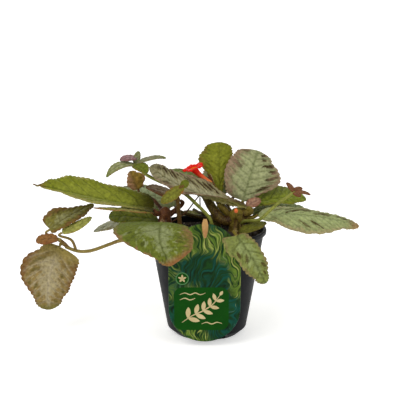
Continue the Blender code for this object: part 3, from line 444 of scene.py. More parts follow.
# Meshes
class Skin:
    """Collects grids and loose faces, each with a material and up to eight markings, into one object."""

    def __init__(self):
        self.points, self.faces, self.slots, self.marks = [], [], [], []
        self.count = 0

    def add(self, points, faces, slot=0, marks=None):
        points = np.asarray(points, float).reshape(-1, 3)
        faces = np.asarray(faces)
        self.points.append(points)
        self.faces.extend((faces + self.count).tolist())
        self.slots.extend([slot] * len(faces))
        full = np.zeros((len(points), 8))
        if marks is not None:
            marks = np.asarray(marks, float)
            full[:, :marks.shape[-1]] = marks.reshape(-1, marks.shape[-1])
        self.marks.append(full)
        self.count += len(points)

    def grid(self, points, slot=0, marks=None, around=False, flip=False):
        """A grid of rows and columns; around joins the last column to the first."""
        rows, cols = points.shape[:2]
        i, j = np.meshgrid(np.arange(rows - 1), np.arange(cols if around else cols - 1), indexing="ij")
        k = (j + 1) % cols
        start, after = i * cols, (i + 1) * cols
        faces = np.stack([start + j, start + k, after + k, after + j], -1).reshape(-1, 4)
        self.add(points, faces[:, ::-1] if flip else faces, slot, marks)

    def make(self, name, materials, weld=0.0):
        """The object, held inside the CAD box."""
        mesh = bpy.data.meshes.new(name)
        points = np.clip(np.concatenate(self.points) * MM, cad_box[0], cad_box[1])
        mesh.from_pydata(points.tolist(), [], self.faces)
        mesh.polygons.foreach_set("material_index", np.array(self.slots, np.int32))
        mesh.polygons.foreach_set("use_smooth", np.ones(len(self.slots), bool))
        marks = np.concatenate(self.marks).astype(np.float32)
        for layer_name, part in (("marks", marks[:, :4]), ("ends", marks[:, 4:])):
            layer = mesh.attributes.new(layer_name, "FLOAT_COLOR", "POINT")
            layer.data.foreach_set("color", part.ravel())
        for material in materials:
            mesh.materials.append(material)
        mesh.update()
        if weld:
            bm = bmesh.new()
            bm.from_mesh(mesh)
            bmesh.ops.remove_doubles(bm, verts=bm.verts, dist=weld * MM)
            bm.to_mesh(mesh)
            bm.free()
        return placed(name, mesh)


def placed(name, data):
    """A new object in the scene."""
    thing = bpy.data.objects.new(name, data)
    bpy.context.scene.collection.objects.link(thing)
    return thing


def rim_of(grid):
    """The points round the edge of a grid, in order."""
    return np.concatenate([grid[:, 0], grid[-1, 1:], grid[::-1, -1][1:], grid[0, ::-1][1:-1]])


def between(a, b, c, d, f):
    """The Catmull-Rom value at f from b to c."""
    return 0.5 * (2 * b + (c - a) * f + (2 * a - 5 * b + 4 * c - d) * f ** 2
                  + (3 * b - a - 3 * c + d) * f ** 3)


def smooth_path(points, steps):
    """Points of a Catmull-Rom curve through the given points."""
    knots = np.asarray(points, float)
    held = np.concatenate([knots[:1], knots, knots[-1:]])
    path = [between(*held[i:i + 4], f) for i in range(len(knots) - 1) for f in np.arange(steps) / steps]
    return np.array([*path, knots[-1]])


def hairs(skin, roots, out, tilt, lengths, width, slot):
    """Fine hairs, each one thin triangle that stands about along out. Lengths are (shortest, longest)."""
    n = len(roots)
    ways = unit(out + RNG.normal(size=(n, 3)) * tilt)
    reach = RNG.uniform(*lengths, n)
    aside = unit(np.cross(ways, RNG.normal(size=ways.shape))) * width / 2
    corners = np.stack([roots - aside, roots + aside, roots + ways * reach[:, None]], 1)
    skin.add(corners, np.arange(n * 3).reshape(-1, 3), slot)


def tube(skin, points, radius_from, radius_to, steps=7, sides=10, lump=0.06, taper=1.0, hairy=CROWN_HAIRS):
    """A round stalk along a smooth route, with rounded ends, slight unevenness and short hairs."""
    path = smooth_path(points, steps)
    run = unit(np.gradient(path, axis=0))
    aside = unit(np.cross(run, (0.31, 0.87, 0.38)))
    other = np.cross(run, aside)
    f = np.linspace(0, 1, len(path))
    radius = radius_from + (radius_to - radius_from) * f ** taper
    turn = circle(sides)
    ring = aside[:, None] * np.cos(turn)[None, :, None] + other[:, None] * np.sin(turn)[None, :, None]
    body = path[:, None] + ring * radius[:, None, None]
    body = body + ring * ((noise(body, 2.6) - 0.5) * lump * 2 * radius[:, None])[..., None]

    def cap(i, way):
        """The two rows that round off an end."""
        out = run[i] * radius[i] * way
        edge = path[i] + out * 0.5 + ring[i] * radius[i] * 0.55
        return np.stack([np.broadcast_to(path[i] + out * 0.7, edge.shape), edge])

    whole = np.concatenate([cap(0, -1), body, cap(-1, 1)[::-1]])
    along = np.broadcast_to(np.concatenate([[0, 0], f, [1, 1]])[:, None], whole.shape[:2])
    skin.grid(whole, 0, np.stack([along, noise(whole, 3.0, 5.0)], -1), around=True)
    n = int(np.linalg.norm(np.diff(path, axis=0), axis=1).sum() * hairy)
    i, j = RNG.integers(0, len(path), n), RNG.integers(0, sides, n)
    hairs(skin, body[i, j] - ring[i, j] * 0.05, ring[i, j], 0.35, (0.6, 1.3), STALK_HAIR_W, 1)


# Leaf form
def outline(t, root, point):
    """Half-width along the leaf as a share of the widest: root and point say how blunt its ends are."""
    widest = root / (root + point)
    t = np.clip(t, 1e-6, 1 - 1e-6)
    return (t / widest) ** root * ((1 - t) / (1 - widest)) ** point


def measured(t, widths, root, point):
    """Half-width along a side from its widths at even steps, with ends rounded or drawn out."""
    steps = len(widths) + 1
    x = np.clip(t, 0, 1) * steps
    w = np.array([widths[0], *widths, widths[-1]], float)
    i = np.clip(np.floor(x).astype(int), 1, steps - 2)
    inner = between(w[i - 1], w[i], w[i + 1], w[np.minimum(i + 2, steps)], x - i)
    low = widths[0] * np.clip(x * (2 - x), 0, 1) ** root
    high = widths[-1] * np.clip((steps - x) * (2 - steps + x), 0, 1) ** point
    return np.where(x < 1, low, np.where(x > steps - 1, high, inner))


def arc(reach, fold, curl):
    """Sideways and upward travel of a section that starts at the fold angle and bends back by curl."""
    fold, turn = np.radians(fold), np.maximum(np.radians(curl) * reach, 1e-4)
    return (reach * (np.sin(fold) - np.sin(fold - turn)) / turn,
            reach * (np.cos(fold - turn) - np.cos(fold)) / turn)


def blade_frame(leaf):
    """Length of a blade and its directions along, to the right and up."""
    base, tip = np.array(leaf.base, float), np.array(leaf.tip, float)
    along = unit(tip - base)
    face = np.array(leaf.face, float)
    normal = unit(face - along * face.dot(along))
    return np.linalg.norm(tip - base), along, np.cross(along, normal), normal


def blade_grid(leaf, rows, cols):
    """The blade's middle surface, its half-width, and how far along and across each point lies."""
    length, along, side, normal = blade_frame(leaf)
    row = np.linspace(0, 1, rows)[:, None] * np.ones((1, cols))
    s = np.linspace(-1, 1, cols)[None, :] * np.ones((rows, 1))
    reach, right = np.abs(s), s > 0

    def of_side(pair):
        return np.where(right, pair[1], pair[0])

    t = 0.5 * row + 0.25 * (1 - np.cos(math.pi * row))
    t = t + VEIN_SWEEP * reach * 4 * t * (1 - t)
    bow, slope = 4 * t * (1 - t), 4 * (1 - 2 * t)
    rib = (along * (length * t)[..., None] + normal * (length * leaf.arch * bow)[..., None]
           + side * (length * leaf.bend * bow)[..., None])
    forward = unit(along + normal * (leaf.arch * slope)[..., None] + side * (leaf.bend * slope)[..., None])
    across = unit(side - forward * (forward @ side)[..., None])
    up = np.cross(across, forward)
    if leaf.widths:
        half = of_side([measured(t, leaf.widths[k], leaf.root[k], leaf.point[k]) for k in (0, 1)])
    else:
        half = of_side(leaf.half) * outline(t, of_side(leaf.root), of_side(leaf.point))
    half = np.maximum(half, END_HALF_W)
    closed = 1 - np.clip((t - 0.3) / 0.3, 0, 1)
    out, rise = arc(reach, of_side(leaf.fold) + of_side(leaf.rise) * closed, of_side(leaf.curl))
    back = of_side(leaf.lobe) * length * reach ** 1.5 * (1 - t) ** 3 * np.minimum(1, t / 0.08) ** 0.6
    points = (np.array(leaf.base, float) + rib + across * (np.sign(s) * out * half)[..., None]
              + up * (rise * half)[..., None] - forward * back[..., None])
    return points, half, t, s, row, across, up, forward


def blade(skin, leaf, slots, thickness=BLADE_T, pitch=1.15):
    """A quilted leaf with side veins, crenate margin, markings and hairs. slots: upper, under, hair."""
    look = LOOKS[leaf.look]
    length = blade_frame(leaf)[0]
    wide = sum(leaf.half)
    teeth = max(6, round(length * 1.2 / TOOTH))
    rows = teeth * max(4, round(TOOTH / (pitch * 0.62))) + 1
    cols = 2 * max(6, round(wide / 2 / pitch)) + 1
    points, half, t, s, row, across, up, forward = blade_grid(leaf, rows, cols)
    reach, right = np.abs(s), s > 0
    here = points + np.array(leaf.base) * 3.7
    ends = np.clip(np.sin(math.pi * row), 0, 1)

    # Side veins lean forward and run from the midrib to the margin
    pairs = max(3, round(length / look.spacing))
    widest = np.where(right, half[:, -1].max(), half[:, 0].max())
    lean = np.minimum(0.3, look.sweep * widest / length) * np.sin(math.pi * np.clip(t, 0, 1)) * reach ** 1.1
    course = (t - lean) * pairs + np.where(right, 0.32, 0.0) + (noise(here, 9.0) - 0.5) * 0.22
    from_vein = np.abs(course - np.round(course)) * length / pairs * 0.85
    vein = np.exp(-(from_vein / 0.85) ** 2) * step(0.97, 0.8, reach) * step(0.0, 0.06, ends)
    rib = np.exp(-(reach * half / 1.25) ** 2)
    branch = course * 2.4 + reach * half / 5.2
    branch_vein = np.exp(-((np.abs(branch - np.round(branch))) / 0.13) ** 2)
    quilt = np.abs(np.sin(math.pi * course)) ** 0.65
    cells = np.abs(np.sin(math.pi * (reach * half / 3.4 + noise(here, 5.0) * 1.6)))
    calm = step(1.0, 0.82, reach) * step(0.0, 0.16, ends)
    size = min(1.0, wide / 40) * leaf.fine
    relief = (QUILT_H * (quilt - 0.55) + CELL_H * (cells ** 0.7 - 0.6) * quilt
              + GRAIN_H * (noise(here, 2.1, 9.0) - 0.5) - BRANCH_H * branch_vein * quilt) * calm * size
    relief = relief - VEIN_H * vein * calm * size - RIB_H * rib * ends * size
    swell = (noise(here, 17.0, 3.0) - 0.5) * SWELL_H * reach ** 2 * ends * size
    wave = np.sin(course * math.pi + 1.0) * WAVE_H * reach ** 3 * ends * size
    points = points + up * (relief + swell + wave)[..., None]

    # Rounded teeth on the margin
    bite = row * teeth + np.where(right, 0.35, 0.0) + noise(here, 15.0, 7.0) * 0.9 * np.minimum(1, ends * 3)
    tooth = np.abs(np.sin(math.pi * bite)) ** 0.6
    jut = TOOTH_H * min(1.0, wide / 30) * (tooth - 0.72) * reach ** 6 * np.minimum(1, ends * 3)
    points = points + across * (np.sign(s) * jut)[..., None]
    points = points + up * (TOOTH_LIFT * (tooth - 0.7) * reach ** 9)[..., None]

    upward = unit(np.cross(np.gradient(points, axis=1), np.gradient(points, axis=0)))
    if (upward * up).sum() < 0:
        upward = -upward
    rim = thickness / 2 * (step(1.0, 0.9, reach) * 0.5 + 0.5)
    ridge = UNDER_VEIN_H * vein * calm * size
    ridge = ridge + UNDER_RIB_H * rib * np.clip(1.2 - t, 0, 1) * min(1, wide / 30)
    top = points + upward * rim[..., None]
    low = points - upward * (rim + ridge)[..., None]

    # Markings: centre zone, veins, blotches, margin, base, tip and flecks; far_left's dark base is painted
    # shade
    patch = noise(here, 7.0, 1.0) - 0.5
    grain = noise(here, 1.9, 4.0) - 0.5
    seed = np.full(t.shape, leaf.base[0] * 0.37)
    streak = noise(np.stack([course * 4.2, reach * half / 5.0, seed], -1), 1.0) - 0.5
    short = noise(np.stack([course * 7.5, reach * half / 2.4, seed + 9], -1), 1.0) - 0.5
    zone = look.centre_reach * step(-0.05, 0.3, t) * step(1.05, 0.6, t)
    centre = step(0.3, -0.3, reach - zone + streak * 0.55 + grain * 0.3 + patch * 0.2)
    ring = np.exp(-((reach - look.blotch_at) / 0.2) ** 2) * step(0.1, 0.25, t) * step(1.02, 0.85, t)
    gap = np.abs(np.sin(math.pi * (course * 3 + streak * 0.5))) ** 1.5 * quilt ** 0.5
    blotch = step(0.36, 0.62, ring * gap * (0.25 + look.blotch_amount) + patch * 0.5 + short * 0.45)
    if look.dashes:
        # One dark dash to a vein interval and side, with chances for being there, its place, length and tone
        chances = RNG.random((5, 2, 64))[:, right.astype(int), np.floor(course).astype(int) % 64]
        there, shift, stretch, slide, tone = chances
        off = np.abs(course - np.floor(course) - 0.5 + 0.3 * (slide - 0.5) + short * 0.45)
        far = np.abs(reach - look.blotch_at - 0.3 * (shift - 0.5)) / (0.14 + 0.18 * stretch)
        far = far / look.dash_size
        dash = step(1.1, 0.55, far + short * 0.8) * step(0.4, 0.2, off + 0.14 * far) * step(0.06, 0.22, t)
        shown = there < look.dashes * np.where(right, *look.dash_sides[::-1])
        blotch = np.maximum(blotch * 0.3, dash * shown * (0.7 + 0.3 * tone))
    edge = np.where(right, look.margin_width[1], look.margin_width[0])
    margin = step(1.0 - edge * 1.5, 1.0 - edge * 0.3, reach + patch * 0.25 + short * 0.3 + streak * 0.25)
    margin = margin * (0.55 + 0.45 * (1 - gap))
    lines = np.clip(vein * 0.7 + rib * 0.9 + branch_vein * 0.2 * calm, 0, 1)
    fleck = step(0.12, 0.3, short + 0.25 * streak) * step(0.1, 0.3, reach) * step(1.0, 0.85, reach)
    # The base share lays the base colour over the blade near its stalk, as painted shade on far_left
    marks = np.stack([centre, lines, blotch, margin, step(0.27, 0.02, t), step(0.86, 1.0, t),
                      fleck * look.fleck], -1)
    skin.grid(top, slots[0], marks)
    skin.grid(low, slots[1], marks, flip=True)
    rims = np.stack([rim_of(top), rim_of(low)])
    skin.grid(rims, slots[0], np.stack([rim_of(marks)] * 2), around=True, flip=True)

    # Hairs stand on the upper side and fringe the margin
    n = int(length * wide * BLADE_HAIRS)
    i, j = RNG.integers(1, rows - 1, n), RNG.integers(1, cols - 1, n)
    keep = RNG.random(n) < half[i, j] / half.max()
    i, j = i[keep], j[keep]
    hairs(skin, top[i, j], upward[i, j] + forward[i, j] * 0.4, 0.3, (0.5, 1.0), HAIR_W, slots[2])
    n = int(length * FRINGE_HAIRS)
    i, on_right = RNG.integers(1, rows - 1, n), RNG.random(n) > 0.5
    j = np.where(on_right, cols - 1, 0)
    out = across[i, j] * np.where(on_right, 1, -1)[:, None]
    hairs(skin, points[i, j], out, 0.35, (0.6, 1.3), HAIR_W, slots[2])


# Materials
class Paint:
    """A Principled material and short calls for the nodes that feed it."""

    def __init__(self, name):
        self.material = bpy.data.materials.new(name)
        self.material.use_nodes = True
        self.tree = self.material.node_tree
        self.shader = self.tree.nodes["Principled BSDF"]

    def feed(self, socket, value):
        """Give a socket another node's output, an sRGB hex code or a plain value."""
        if isinstance(value, bpy.types.NodeSocket):
            self.tree.links.new(value, socket)
        else:
            socket.default_value = linear(value) if isinstance(value, str) else value

    def node(self, kind, fed=None, **values):
        """A node; values go to its settings or sockets by name, and fed says what feeds which socket."""
        node = self.tree.nodes.new("ShaderNode" + kind)
        for key, value in values.items():
            if hasattr(node, key):
                setattr(node, key, value)
            else:
                node.inputs[key.replace("_", " ").title()].default_value = value
        for socket, value in (fed or {}).items():
            self.feed(node.inputs[socket], value)
        return node

    def place(self):
        """The object's own coordinates."""
        return self.node("TexCoord").outputs["Object"]

    def texture(self, kind, scale, **values):
        """A texture laid over the object's own place, with its scale per metre."""
        return self.node(kind, {"Vector": self.place()}, scale=scale, **values)

    def grain(self, scale, **values):
        return self.texture("TexNoise", scale, **values).outputs["Fac"]

    def spread(self, source, low, high, to_low=0.0, to_high=1.0):
        """Map a value from one range to another, held at both ends."""
        return self.node("MapRange", {"Value": source}, from_min=low, from_max=high, to_min=to_low,
                         to_max=to_high).outputs["Result"]

    def times(self, a, b):
        return self.node("Math", {0: a, 1: b}, operation="MULTIPLY").outputs[0]

    def plus(self, a, b):
        return self.node("Math", {0: a, 1: b}, operation="ADD").outputs[0]

    def layered(self, colour, *layers):
        """A colour with others laid over it in turn, each (factor, colour); empty ones are left out."""
        for factor, over in layers:
            if over:
                both = {"Factor": factor, 6: colour, 7: over}
                colour = self.node("Mix", both, data_type="RGBA").outputs[2]
        return colour

    def marks(self, layer):
        """The four parts of a layer of markings."""
        source = self.node("Attribute", attribute_name=layer)
        apart = self.node("SeparateColor", {"Color": source.outputs["Color"]})
        return (*apart.outputs, source.outputs["Alpha"])

    def grained(self, colour, fine, coarse, amount):
        """Lighten and darken a colour by two textures."""
        both = self.plus(self.times(fine, 0.6), self.times(coarse, 0.4))
        value = self.spread(both, 0.25, 0.75, 1 - amount, 1 + amount)
        return self.node("HueSaturation", {"Value": value, "Color": colour}).outputs["Color"]

    def finish(self, colour, source, roughness, bump, specular=0.5, sheen=0.0, height=None):
        """Set what the surface shows. roughness is (low, high) and bump is (millimetres, strength)."""
        relief = self.node("Bump", {"Height": height or source}, distance=bump[0] * MM, strength=bump[1])
        shown = {"Base Color": colour, "Roughness": self.spread(source, 0.3, 0.7, *roughness),
                 "Normal": relief.outputs["Normal"], "Specular IOR Level": specular, "Sheen Weight": sheen}
        for socket, value in shown.items():
            self.feed(self.shader.inputs[socket], value)
        return self.material


def leaf_material(name, look, under=False):
    """Quilted, hairy leaf skin: zones from the markings, grain from cells and noise."""
    paint = Paint(name)
    centre, vein, blotch, margin = paint.marks("marks")
    base, tip, fleck, _ = paint.marks("ends")
    cells = paint.texture("TexVoronoi", 430.0, feature="SMOOTH_F1").outputs["Distance"]
    fine = paint.grain(900.0)
    if under:
        patches = paint.spread(paint.grain(110.0), 0.35, 0.65, 0.0, 0.5)
        colour = paint.layered(look.under, (patches, look.ground), (paint.times(margin, 0.5), look.margin),
                               (paint.times(vein, 0.35), "b8b080"))
    else:
        zone = paint.spread(paint.plus(centre, paint.times(fine, 0.7)), 0.55, 1.15)
        spots = paint.spread(paint.plus(blotch, paint.times(fine, 0.6)), 0.5, 1.2)
        # The base layer is painted shade on far_left, where the blade goes into the crown
        colour = paint.layered(look.ground, (zone, look.centre), (fleck, look.centre),
                               (spots, look.blotch), (margin, look.margin),
                               (paint.times(vein, 0.75), look.vein), (base, look.base), (tip, look.tip))
    colour = paint.grained(colour, cells, fine, 0.28)
    height = paint.plus(paint.times(cells, -1.0), paint.times(fine, 0.5))
    return paint.finish(colour, fine, (0.54, 0.74), (0.5, 0.8), specular=0.12, sheen=0.02, height=height)


def stalk_material(name, low, high, speck):
    """Stalk skin that changes colour along its length, with fine specks and lengthwise unevenness."""
    paint = Paint(name)
    along, patch, _, _ = paint.marks("marks")
    fine, coarse = paint.grain(800.0), paint.grain(160.0)
    colour = paint.layered(low, (paint.spread(paint.plus(along, patch), 0.5, 1.4), high),
                           (paint.spread(fine, 0.5, 0.7, 0, 0.6), speck))
    colour = paint.grained(colour, fine, coarse, 0.25)
    return paint.finish(colour, fine, (0.45, 0.65), (0.3, 0.6), specular=0.15)


def plain_material(name, main, other, roughness, scale, bump_mm, amount=0.15, detail=4.0, specular=0.5):
    """A surface whose colour, roughness and relief all vary with noise."""
    paint = Paint(name)
    fine = paint.grain(scale, detail=detail)
    coarse = paint.grain(scale / 7)
    colour = paint.layered(main, (paint.spread(coarse, 0.35, 0.65), other))
    colour = paint.grained(colour, fine, coarse, amount)
    return paint.finish(colour, fine, (roughness - 0.08, roughness + 0.08), (bump_mm, 0.7), specular)


hair_material = plain_material("plant_hair", "7e7c42", "969250", 0.6, 500.0, 0.05, specular=0.1)
fine_hair = plain_material("stalk_hair", "7c6038", "947a44", 0.6, 500.0, 0.05, specular=0.1)
leaf_materials = {}


def leaf_pair(name):
    """A look's materials for the upper side and the underside."""
    if name not in leaf_materials:
        leaf_materials[name] = (leaf_material("leaf_" + name, LOOKS[name]),
                                leaf_material("leaf_under_" + name, LOOKS[name], under=True))
    return leaf_materials[name]


def settle(piece, *nodes):
    """The piece rides on the plant's one body and stands for its CAD nodes.

    It names no slot. The right slot of each CAD node is in the record's subparts.
    """
    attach(piece, "root")
    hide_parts(*nodes)


# Leaves on their own stalks
for leaf in LEAVES + PLANTLET_LEAVES:
    skin = Skin()
    blade(skin, leaf, (0, 1, 2))
    settle(skin.make("blade_" + leaf.name, [*leaf_pair(leaf.look), hair_material]), leaf.name)


# Crowns, stalks and runners
def stalk_route(leaf, start):
    """Where a leaf's stalk runs, from its start to its seat under the blade."""
    _, along, _, normal = blade_frame(leaf)
    seat = np.array(leaf.base, float) - along * STALK_SEAT - normal * STALK_DROP
    last = np.array(leaf.via[-1] if leaf.via else start, float)
    lead = seat - (along * 0.85 + normal * 0.5) * min(9.0, np.linalg.norm(seat - last) / 3)
    return np.array([start, *leaf.via, lead, seat], float)


def crown(key, *colours):
    """A crown with the stalks of its leaves and flowers."""
    (x, y), radius, top = CROWNS[key]
    skin = Skin()
    heights = (SOIL_TOP - CROWN_DEPTH, SOIL_TOP - 2, (SOIL_TOP - 2 + top) / 2, top)
    tube(skin, [(x, y, z) for z in heights], radius * 1.02, radius * 0.86, steps=8, sides=28, lump=0.16)
    own = [leaf for leaf in LEAVES if leaf.crown == key]
    for i, leaf in enumerate(own):
        route = stalk_route(leaf, (x, y, top - 3.0 - 5.0 * i / len(own)))
        tube(skin, route, *leaf.stem, steps=9, sides=12, taper=0.7, hairy=STALK_HAIRS)
    for owner, route, thick in FLOWER_STALKS:
        if owner == key:
            tube(skin, route, thick, thick * 0.9)
    piece = skin.make("crown_and_stalks_" + key, [stalk_material("stalk_" + key, *colours), fine_hair])
    settle(piece, "stems_" + key)


crown("left", "3e1e0c", "543018", "765432")
crown("right", "321c0a", "665a18", "7c682e")
crown("back", "3a2c0e", "50461a", "6c5c2c")


def runner(name, node, route, radius, colours, leaves=(), carried=()):
    """A runner or shoot with the stalks of the leaves it carries and its own small leaves."""
    skin = Skin()
    materials = [stalk_material(name + "_skin", *colours), fine_hair]
    tube(skin, route, radius, radius * 0.85, steps=9, sides=12, hairy=STALK_HAIRS)
    for leaf in carried:
        tube(skin, stalk_route(leaf, leaf.start), 1.5, 1.1, steps=8, hairy=8)
    for leaf in leaves:
        used = (*leaf_pair(leaf.look), hair_material)
        materials += [material for material in used if material not in materials]
        blade(skin, leaf, [materials.index(material) for material in used], BLADE_T + 0.1, pitch=0.7)
    settle(skin.make(name, materials), node)


runner("trailing_runner_left", "runner_left", RUNNER_LEFT, 2.0, ("6a4e24", "84743a", "9a8856"),
       carried=PLANTLET_LEAVES)
runner("climbing_runner_top", "runner_top", RUNNER_TOP, 1.9, ("6e7226", "8a8e40", "9c9c56"),
       leaves=RUNNER_TOP_LEAVES)
runner("short_runner_right", "runner_right", RUNNER_RIGHT, 1.8, ("5e6420", "7c8034", "929050"),
       leaves=RUNNER_RIGHT_LEAVES)
runner("shoot_with_leaves", "young_shoot", SHOOT_STALK, 2.2, ("46300f", "5c4218", "746030"),
       leaves=SHOOT_LEAVES)


# Pot
def rounded(points, radius, steps=4):
    """A profile with its corners rounded, each by at most a third of its shorter side."""
    points = np.asarray(points, float)
    made = [points[0]]
    for a, b, c in zip(points, points[1:], points[2:]):
        back, on = np.linalg.norm(a - b), np.linalg.norm(c - b)
        r = min(radius, back / 3, on / 3)
        start, end = b + (a - b) / back * r, b + (c - b) / on * r
        made += [(1 - f) ** 2 * start + 2 * f * (1 - f) * b + f * f * end for f in np.linspace(0, 1, steps)]
    return np.array([*made, points[-1]])


def subdivided(points, longest):
    """A line of points with more added, so that no step is longer than given."""
    made = [points[0]]
    for a, b in zip(points, points[1:]):
        n = max(1, int(np.ceil(np.linalg.norm(b - a) / longest)))
        made.extend(a + (b - a) * (k + 1) / n for k in range(n))
    return np.array(made)


def turned(skin, profile, sides):
    """A profile of (radius, height) turned about the pot's axis."""
    angle = circle(sides)
    r, z = profile[:, 0][:, None], profile[:, 1][:, None]
    skin.grid(np.stack([r * np.cos(angle), r * np.sin(angle), z + 0 * angle], -1), around=True, flip=True)


def pot_material():
    """Dark moulded plastic with some dust."""
    paint = Paint("pot_plastic_skin")
    coarse = paint.grain(45.0)
    dust = paint.spread(paint.grain(260.0, detail=6.0), 0.58, 0.74, 0, 0.3)
    colour = paint.layered("0f1012", (paint.spread(coarse, 0.35, 0.65), "151719"), (dust, "3a3832"))
    return paint.finish(colour, coarse, (0.4, 0.54), (0.06, 0.6), specular=0.06,
                        height=paint.grain(1500.0, detail=3.0))


def notch_knife(pot, angle):
    """A rounded box that cuts one drainage notch out of the foot."""
    reach = POT_WALL_LOW_R - POT_FOOT_R + 6
    bm = bmesh.new()
    bmesh.ops.create_cube(bm, size=1.0)
    bmesh.ops.scale(bm, vec=(reach * MM, NOTCH_W * MM, (NOTCH_TOP + 1) * MM), verts=bm.verts)
    lengthwise = [e for e in bm.edges if abs((e.verts[0].co - e.verts[1].co).normalized().x) > 0.9]
    bmesh.ops.bevel(bm, geom=lengthwise, offset=NOTCH_CORNER_R * MM, segments=4, affect="EDGES")
    mesh = bpy.data.meshes.new("notch")
    bm.to_mesh(mesh)
    bm.free()
    knife = placed("notch", mesh)
    r = POT_FOOT_R - 1 + reach / 2
    knife.location = (r * math.cos(angle) * MM, r * math.sin(angle) * MM, (NOTCH_TOP - 1) / 2 * MM)
    knife.rotation_euler.z = angle
    carve = pot.modifiers.new("notch", "BOOLEAN")
    carve.operation = "DIFFERENCE"
    carve.solver = "EXACT"
    carve.object = knife
    return knife


def make_pot():
    """The turned wall, floor and lip, with the notches cut."""
    inner_low, inner_top = POT_WALL_LOW_R - POT_WALL_T, POT_WALL_TOP_R - POT_WALL_T
    lip_low = POT_HEIGHT - POT_LIP_H
    profile = rounded((
        (0.01, POT_FLOOR_T), (POT_FOOT_R - 1.0, POT_FLOOR_T), (inner_low, POT_WALL_LOW_Z + 0.4),
        (inner_top, lip_low), (inner_top + 0.7, POT_HEIGHT - 0.8), (inner_top + 1.4, POT_HEIGHT),
        (POT_LIP_R - 0.7, POT_HEIGHT), (POT_LIP_R, POT_HEIGHT - 0.8), (POT_LIP_R, lip_low),
        (POT_WALL_TOP_R, lip_low - 0.6), (POT_WALL_LOW_R, POT_WALL_LOW_Z), (POT_FOOT_R, 0), (0.01, 0)),
        POT_CORNER_R)
    skin = Skin()
    turned(skin, subdivided(profile, 9.0), 144)
    pot = skin.make("nursery_pot", [pot_material()], weld=0.02)
    knives = [notch_knife(pot, 2 * math.pi * (i + 0.5) / NOTCHES) for i in range(NOTCHES)]
    bpy.context.view_layer.update()
    graph = bpy.context.evaluated_depsgraph_get()
    cut = bpy.data.meshes.new_from_object(pot.evaluated_get(graph))
    pot.modifiers.clear()
    pot.data = cut
    pot.data.set_sharp_from_angle(angle=math.radians(50))
    for knife in knives:
        bpy.data.objects.remove(knife, do_unlink=True)
    settle(pot, "pot")


make_pot()


# Soil
def make_soil():
    """Peat with an uneven top, loose crumbs and some perlite."""
    slope = (POT_WALL_TOP_R - POT_WALL_LOW_R) / (POT_HEIGHT - POT_LIP_H - POT_WALL_LOW_Z)
    low_z = POT_WALL_LOW_Z + 1.2
    low_r, top_r = (POT_WALL_LOW_R - POT_WALL_T + slope * (z - POT_WALL_LOW_Z) - SOIL_GAP
                    for z in (low_z, SOIL_TOP))

    def surface(flat, r):
        """Height of the peat, without its finest grain."""
        return (SOIL_TOP + 1.2 * (1 - (r / top_r) ** 2) + 2.6 * (noise(flat, 15.0) - 0.5)
                + 2.2 * (noise(flat, 5.0, 3.0) - 0.5))

    skin = Skin()
    rings, sides = 70, 200
    r = np.linspace(0.02, 1, rings)[:, None] * top_r
    angle = circle(sides)[None, :]
    x, y = r * np.cos(angle), r * np.sin(angle)
    flat = np.stack([x, y, 0 * x], -1)
    z = surface(flat, r) + 1.2 * (noise(flat, 2.0, 6.0) - 0.5) - 0.6 - 1.5 * step(top_r - 3, top_r, r)
    skin.grid(np.stack([x, y, z], -1), around=True, flip=True)
    turned(skin, np.array([(0.02, low_z), (low_r, low_z), (top_r - 0.1, SOIL_TOP - 1.6)])[::-1], 96)
    ball = bmesh.new()
    bmesh.ops.create_icosphere(ball, subdivisions=2, radius=1.0)
    base = np.array([v.co for v in ball.verts])
    faces = np.array([[v.index for v in f.verts] for f in ball.faces])
    ball.free()
    for i in range(CRUMBS):
        where = RNG.uniform(0, 2 * math.pi)
        far = top_r * math.sqrt(RNG.random()) * 0.97
        size = RNG.uniform(0.6, 1.5) if i % 9 else RNG.uniform(1.5, 2.4)
        x, y = far * math.cos(where), far * math.sin(where)
        from_crown = min(math.hypot(x - at[0], y - at[1]) - radius for at, radius, _ in CROWNS.values())
        if from_crown < 1.5 or y < -48 and abs(x - LABEL_X) < 10:
            continue
        lump = base * (1 + 0.5 * (noise(base + i, 0.6)[:, None] - 0.5)) * RNG.uniform(0.55, 1.2, 3) * size
        height = surface(np.array([[x, y, 0.0]]), far)[0] - 0.4
        skin.add(lump + (x, y, height), faces, 1 if i % 23 == 0 else 0)
    peat = plain_material("peat", "221912", "33261a", 0.92, 900.0, 0.6, 0.4, 6.0)
    grit = plain_material("perlite", "b5aea0", "9b9486", 0.9, 700.0, 0.4, 0.2)
    settle(skin.make("peat_fill", [peat, grit]), "soil")


make_soil()


# Label: a moulded plastic plate with printed foliage, a plain panel and a leaf sprig
def label_half(z):
    """Half-width of the plate at a height."""
    low_z, top_z = LABEL_LOW_Z + LABEL_LOW_ARC, LABEL_TOP_Z - LABEL_TOP_ARC
    below = np.sqrt(np.clip(1 - ((low_z - z) / LABEL_LOW_ARC) ** 2, 0, 1))
    above = np.sqrt(np.clip(1 - ((z - top_z) / LABEL_TOP_ARC) ** 2, 0, 1))
    return LABEL_HALF_W * np.where(z < low_z, below, np.where(z > top_z, above, 1.0))


def on_label(x, z, lift=0.0):
    """Points just in front of the plate's face."""
    lean = np.clip((LABEL_LEAN_FROM - z) / (LABEL_LEAN_FROM - LABEL_LOW_Z), 0, None)
    return np.stack([LABEL_X + x, LABEL_Y + LABEL_LEAN * lean ** 1.4 - LABEL_T / 2 - lift, z], -1)


def printed(skin, shape, slot, lift):
    """A flat printed shape on the plate's face, given by its outline."""
    points = subdivided(np.vstack([shape, shape[:1]]), 2.0)[:-1]
    middle = points.mean(0)
    grid = np.array([middle + (points - middle) * f for f in (0.02, 0.35, 0.7, 1.0)])
    skin.grid(on_label(grid[..., 0], grid[..., 1], lift), slot, around=True, flip=True)


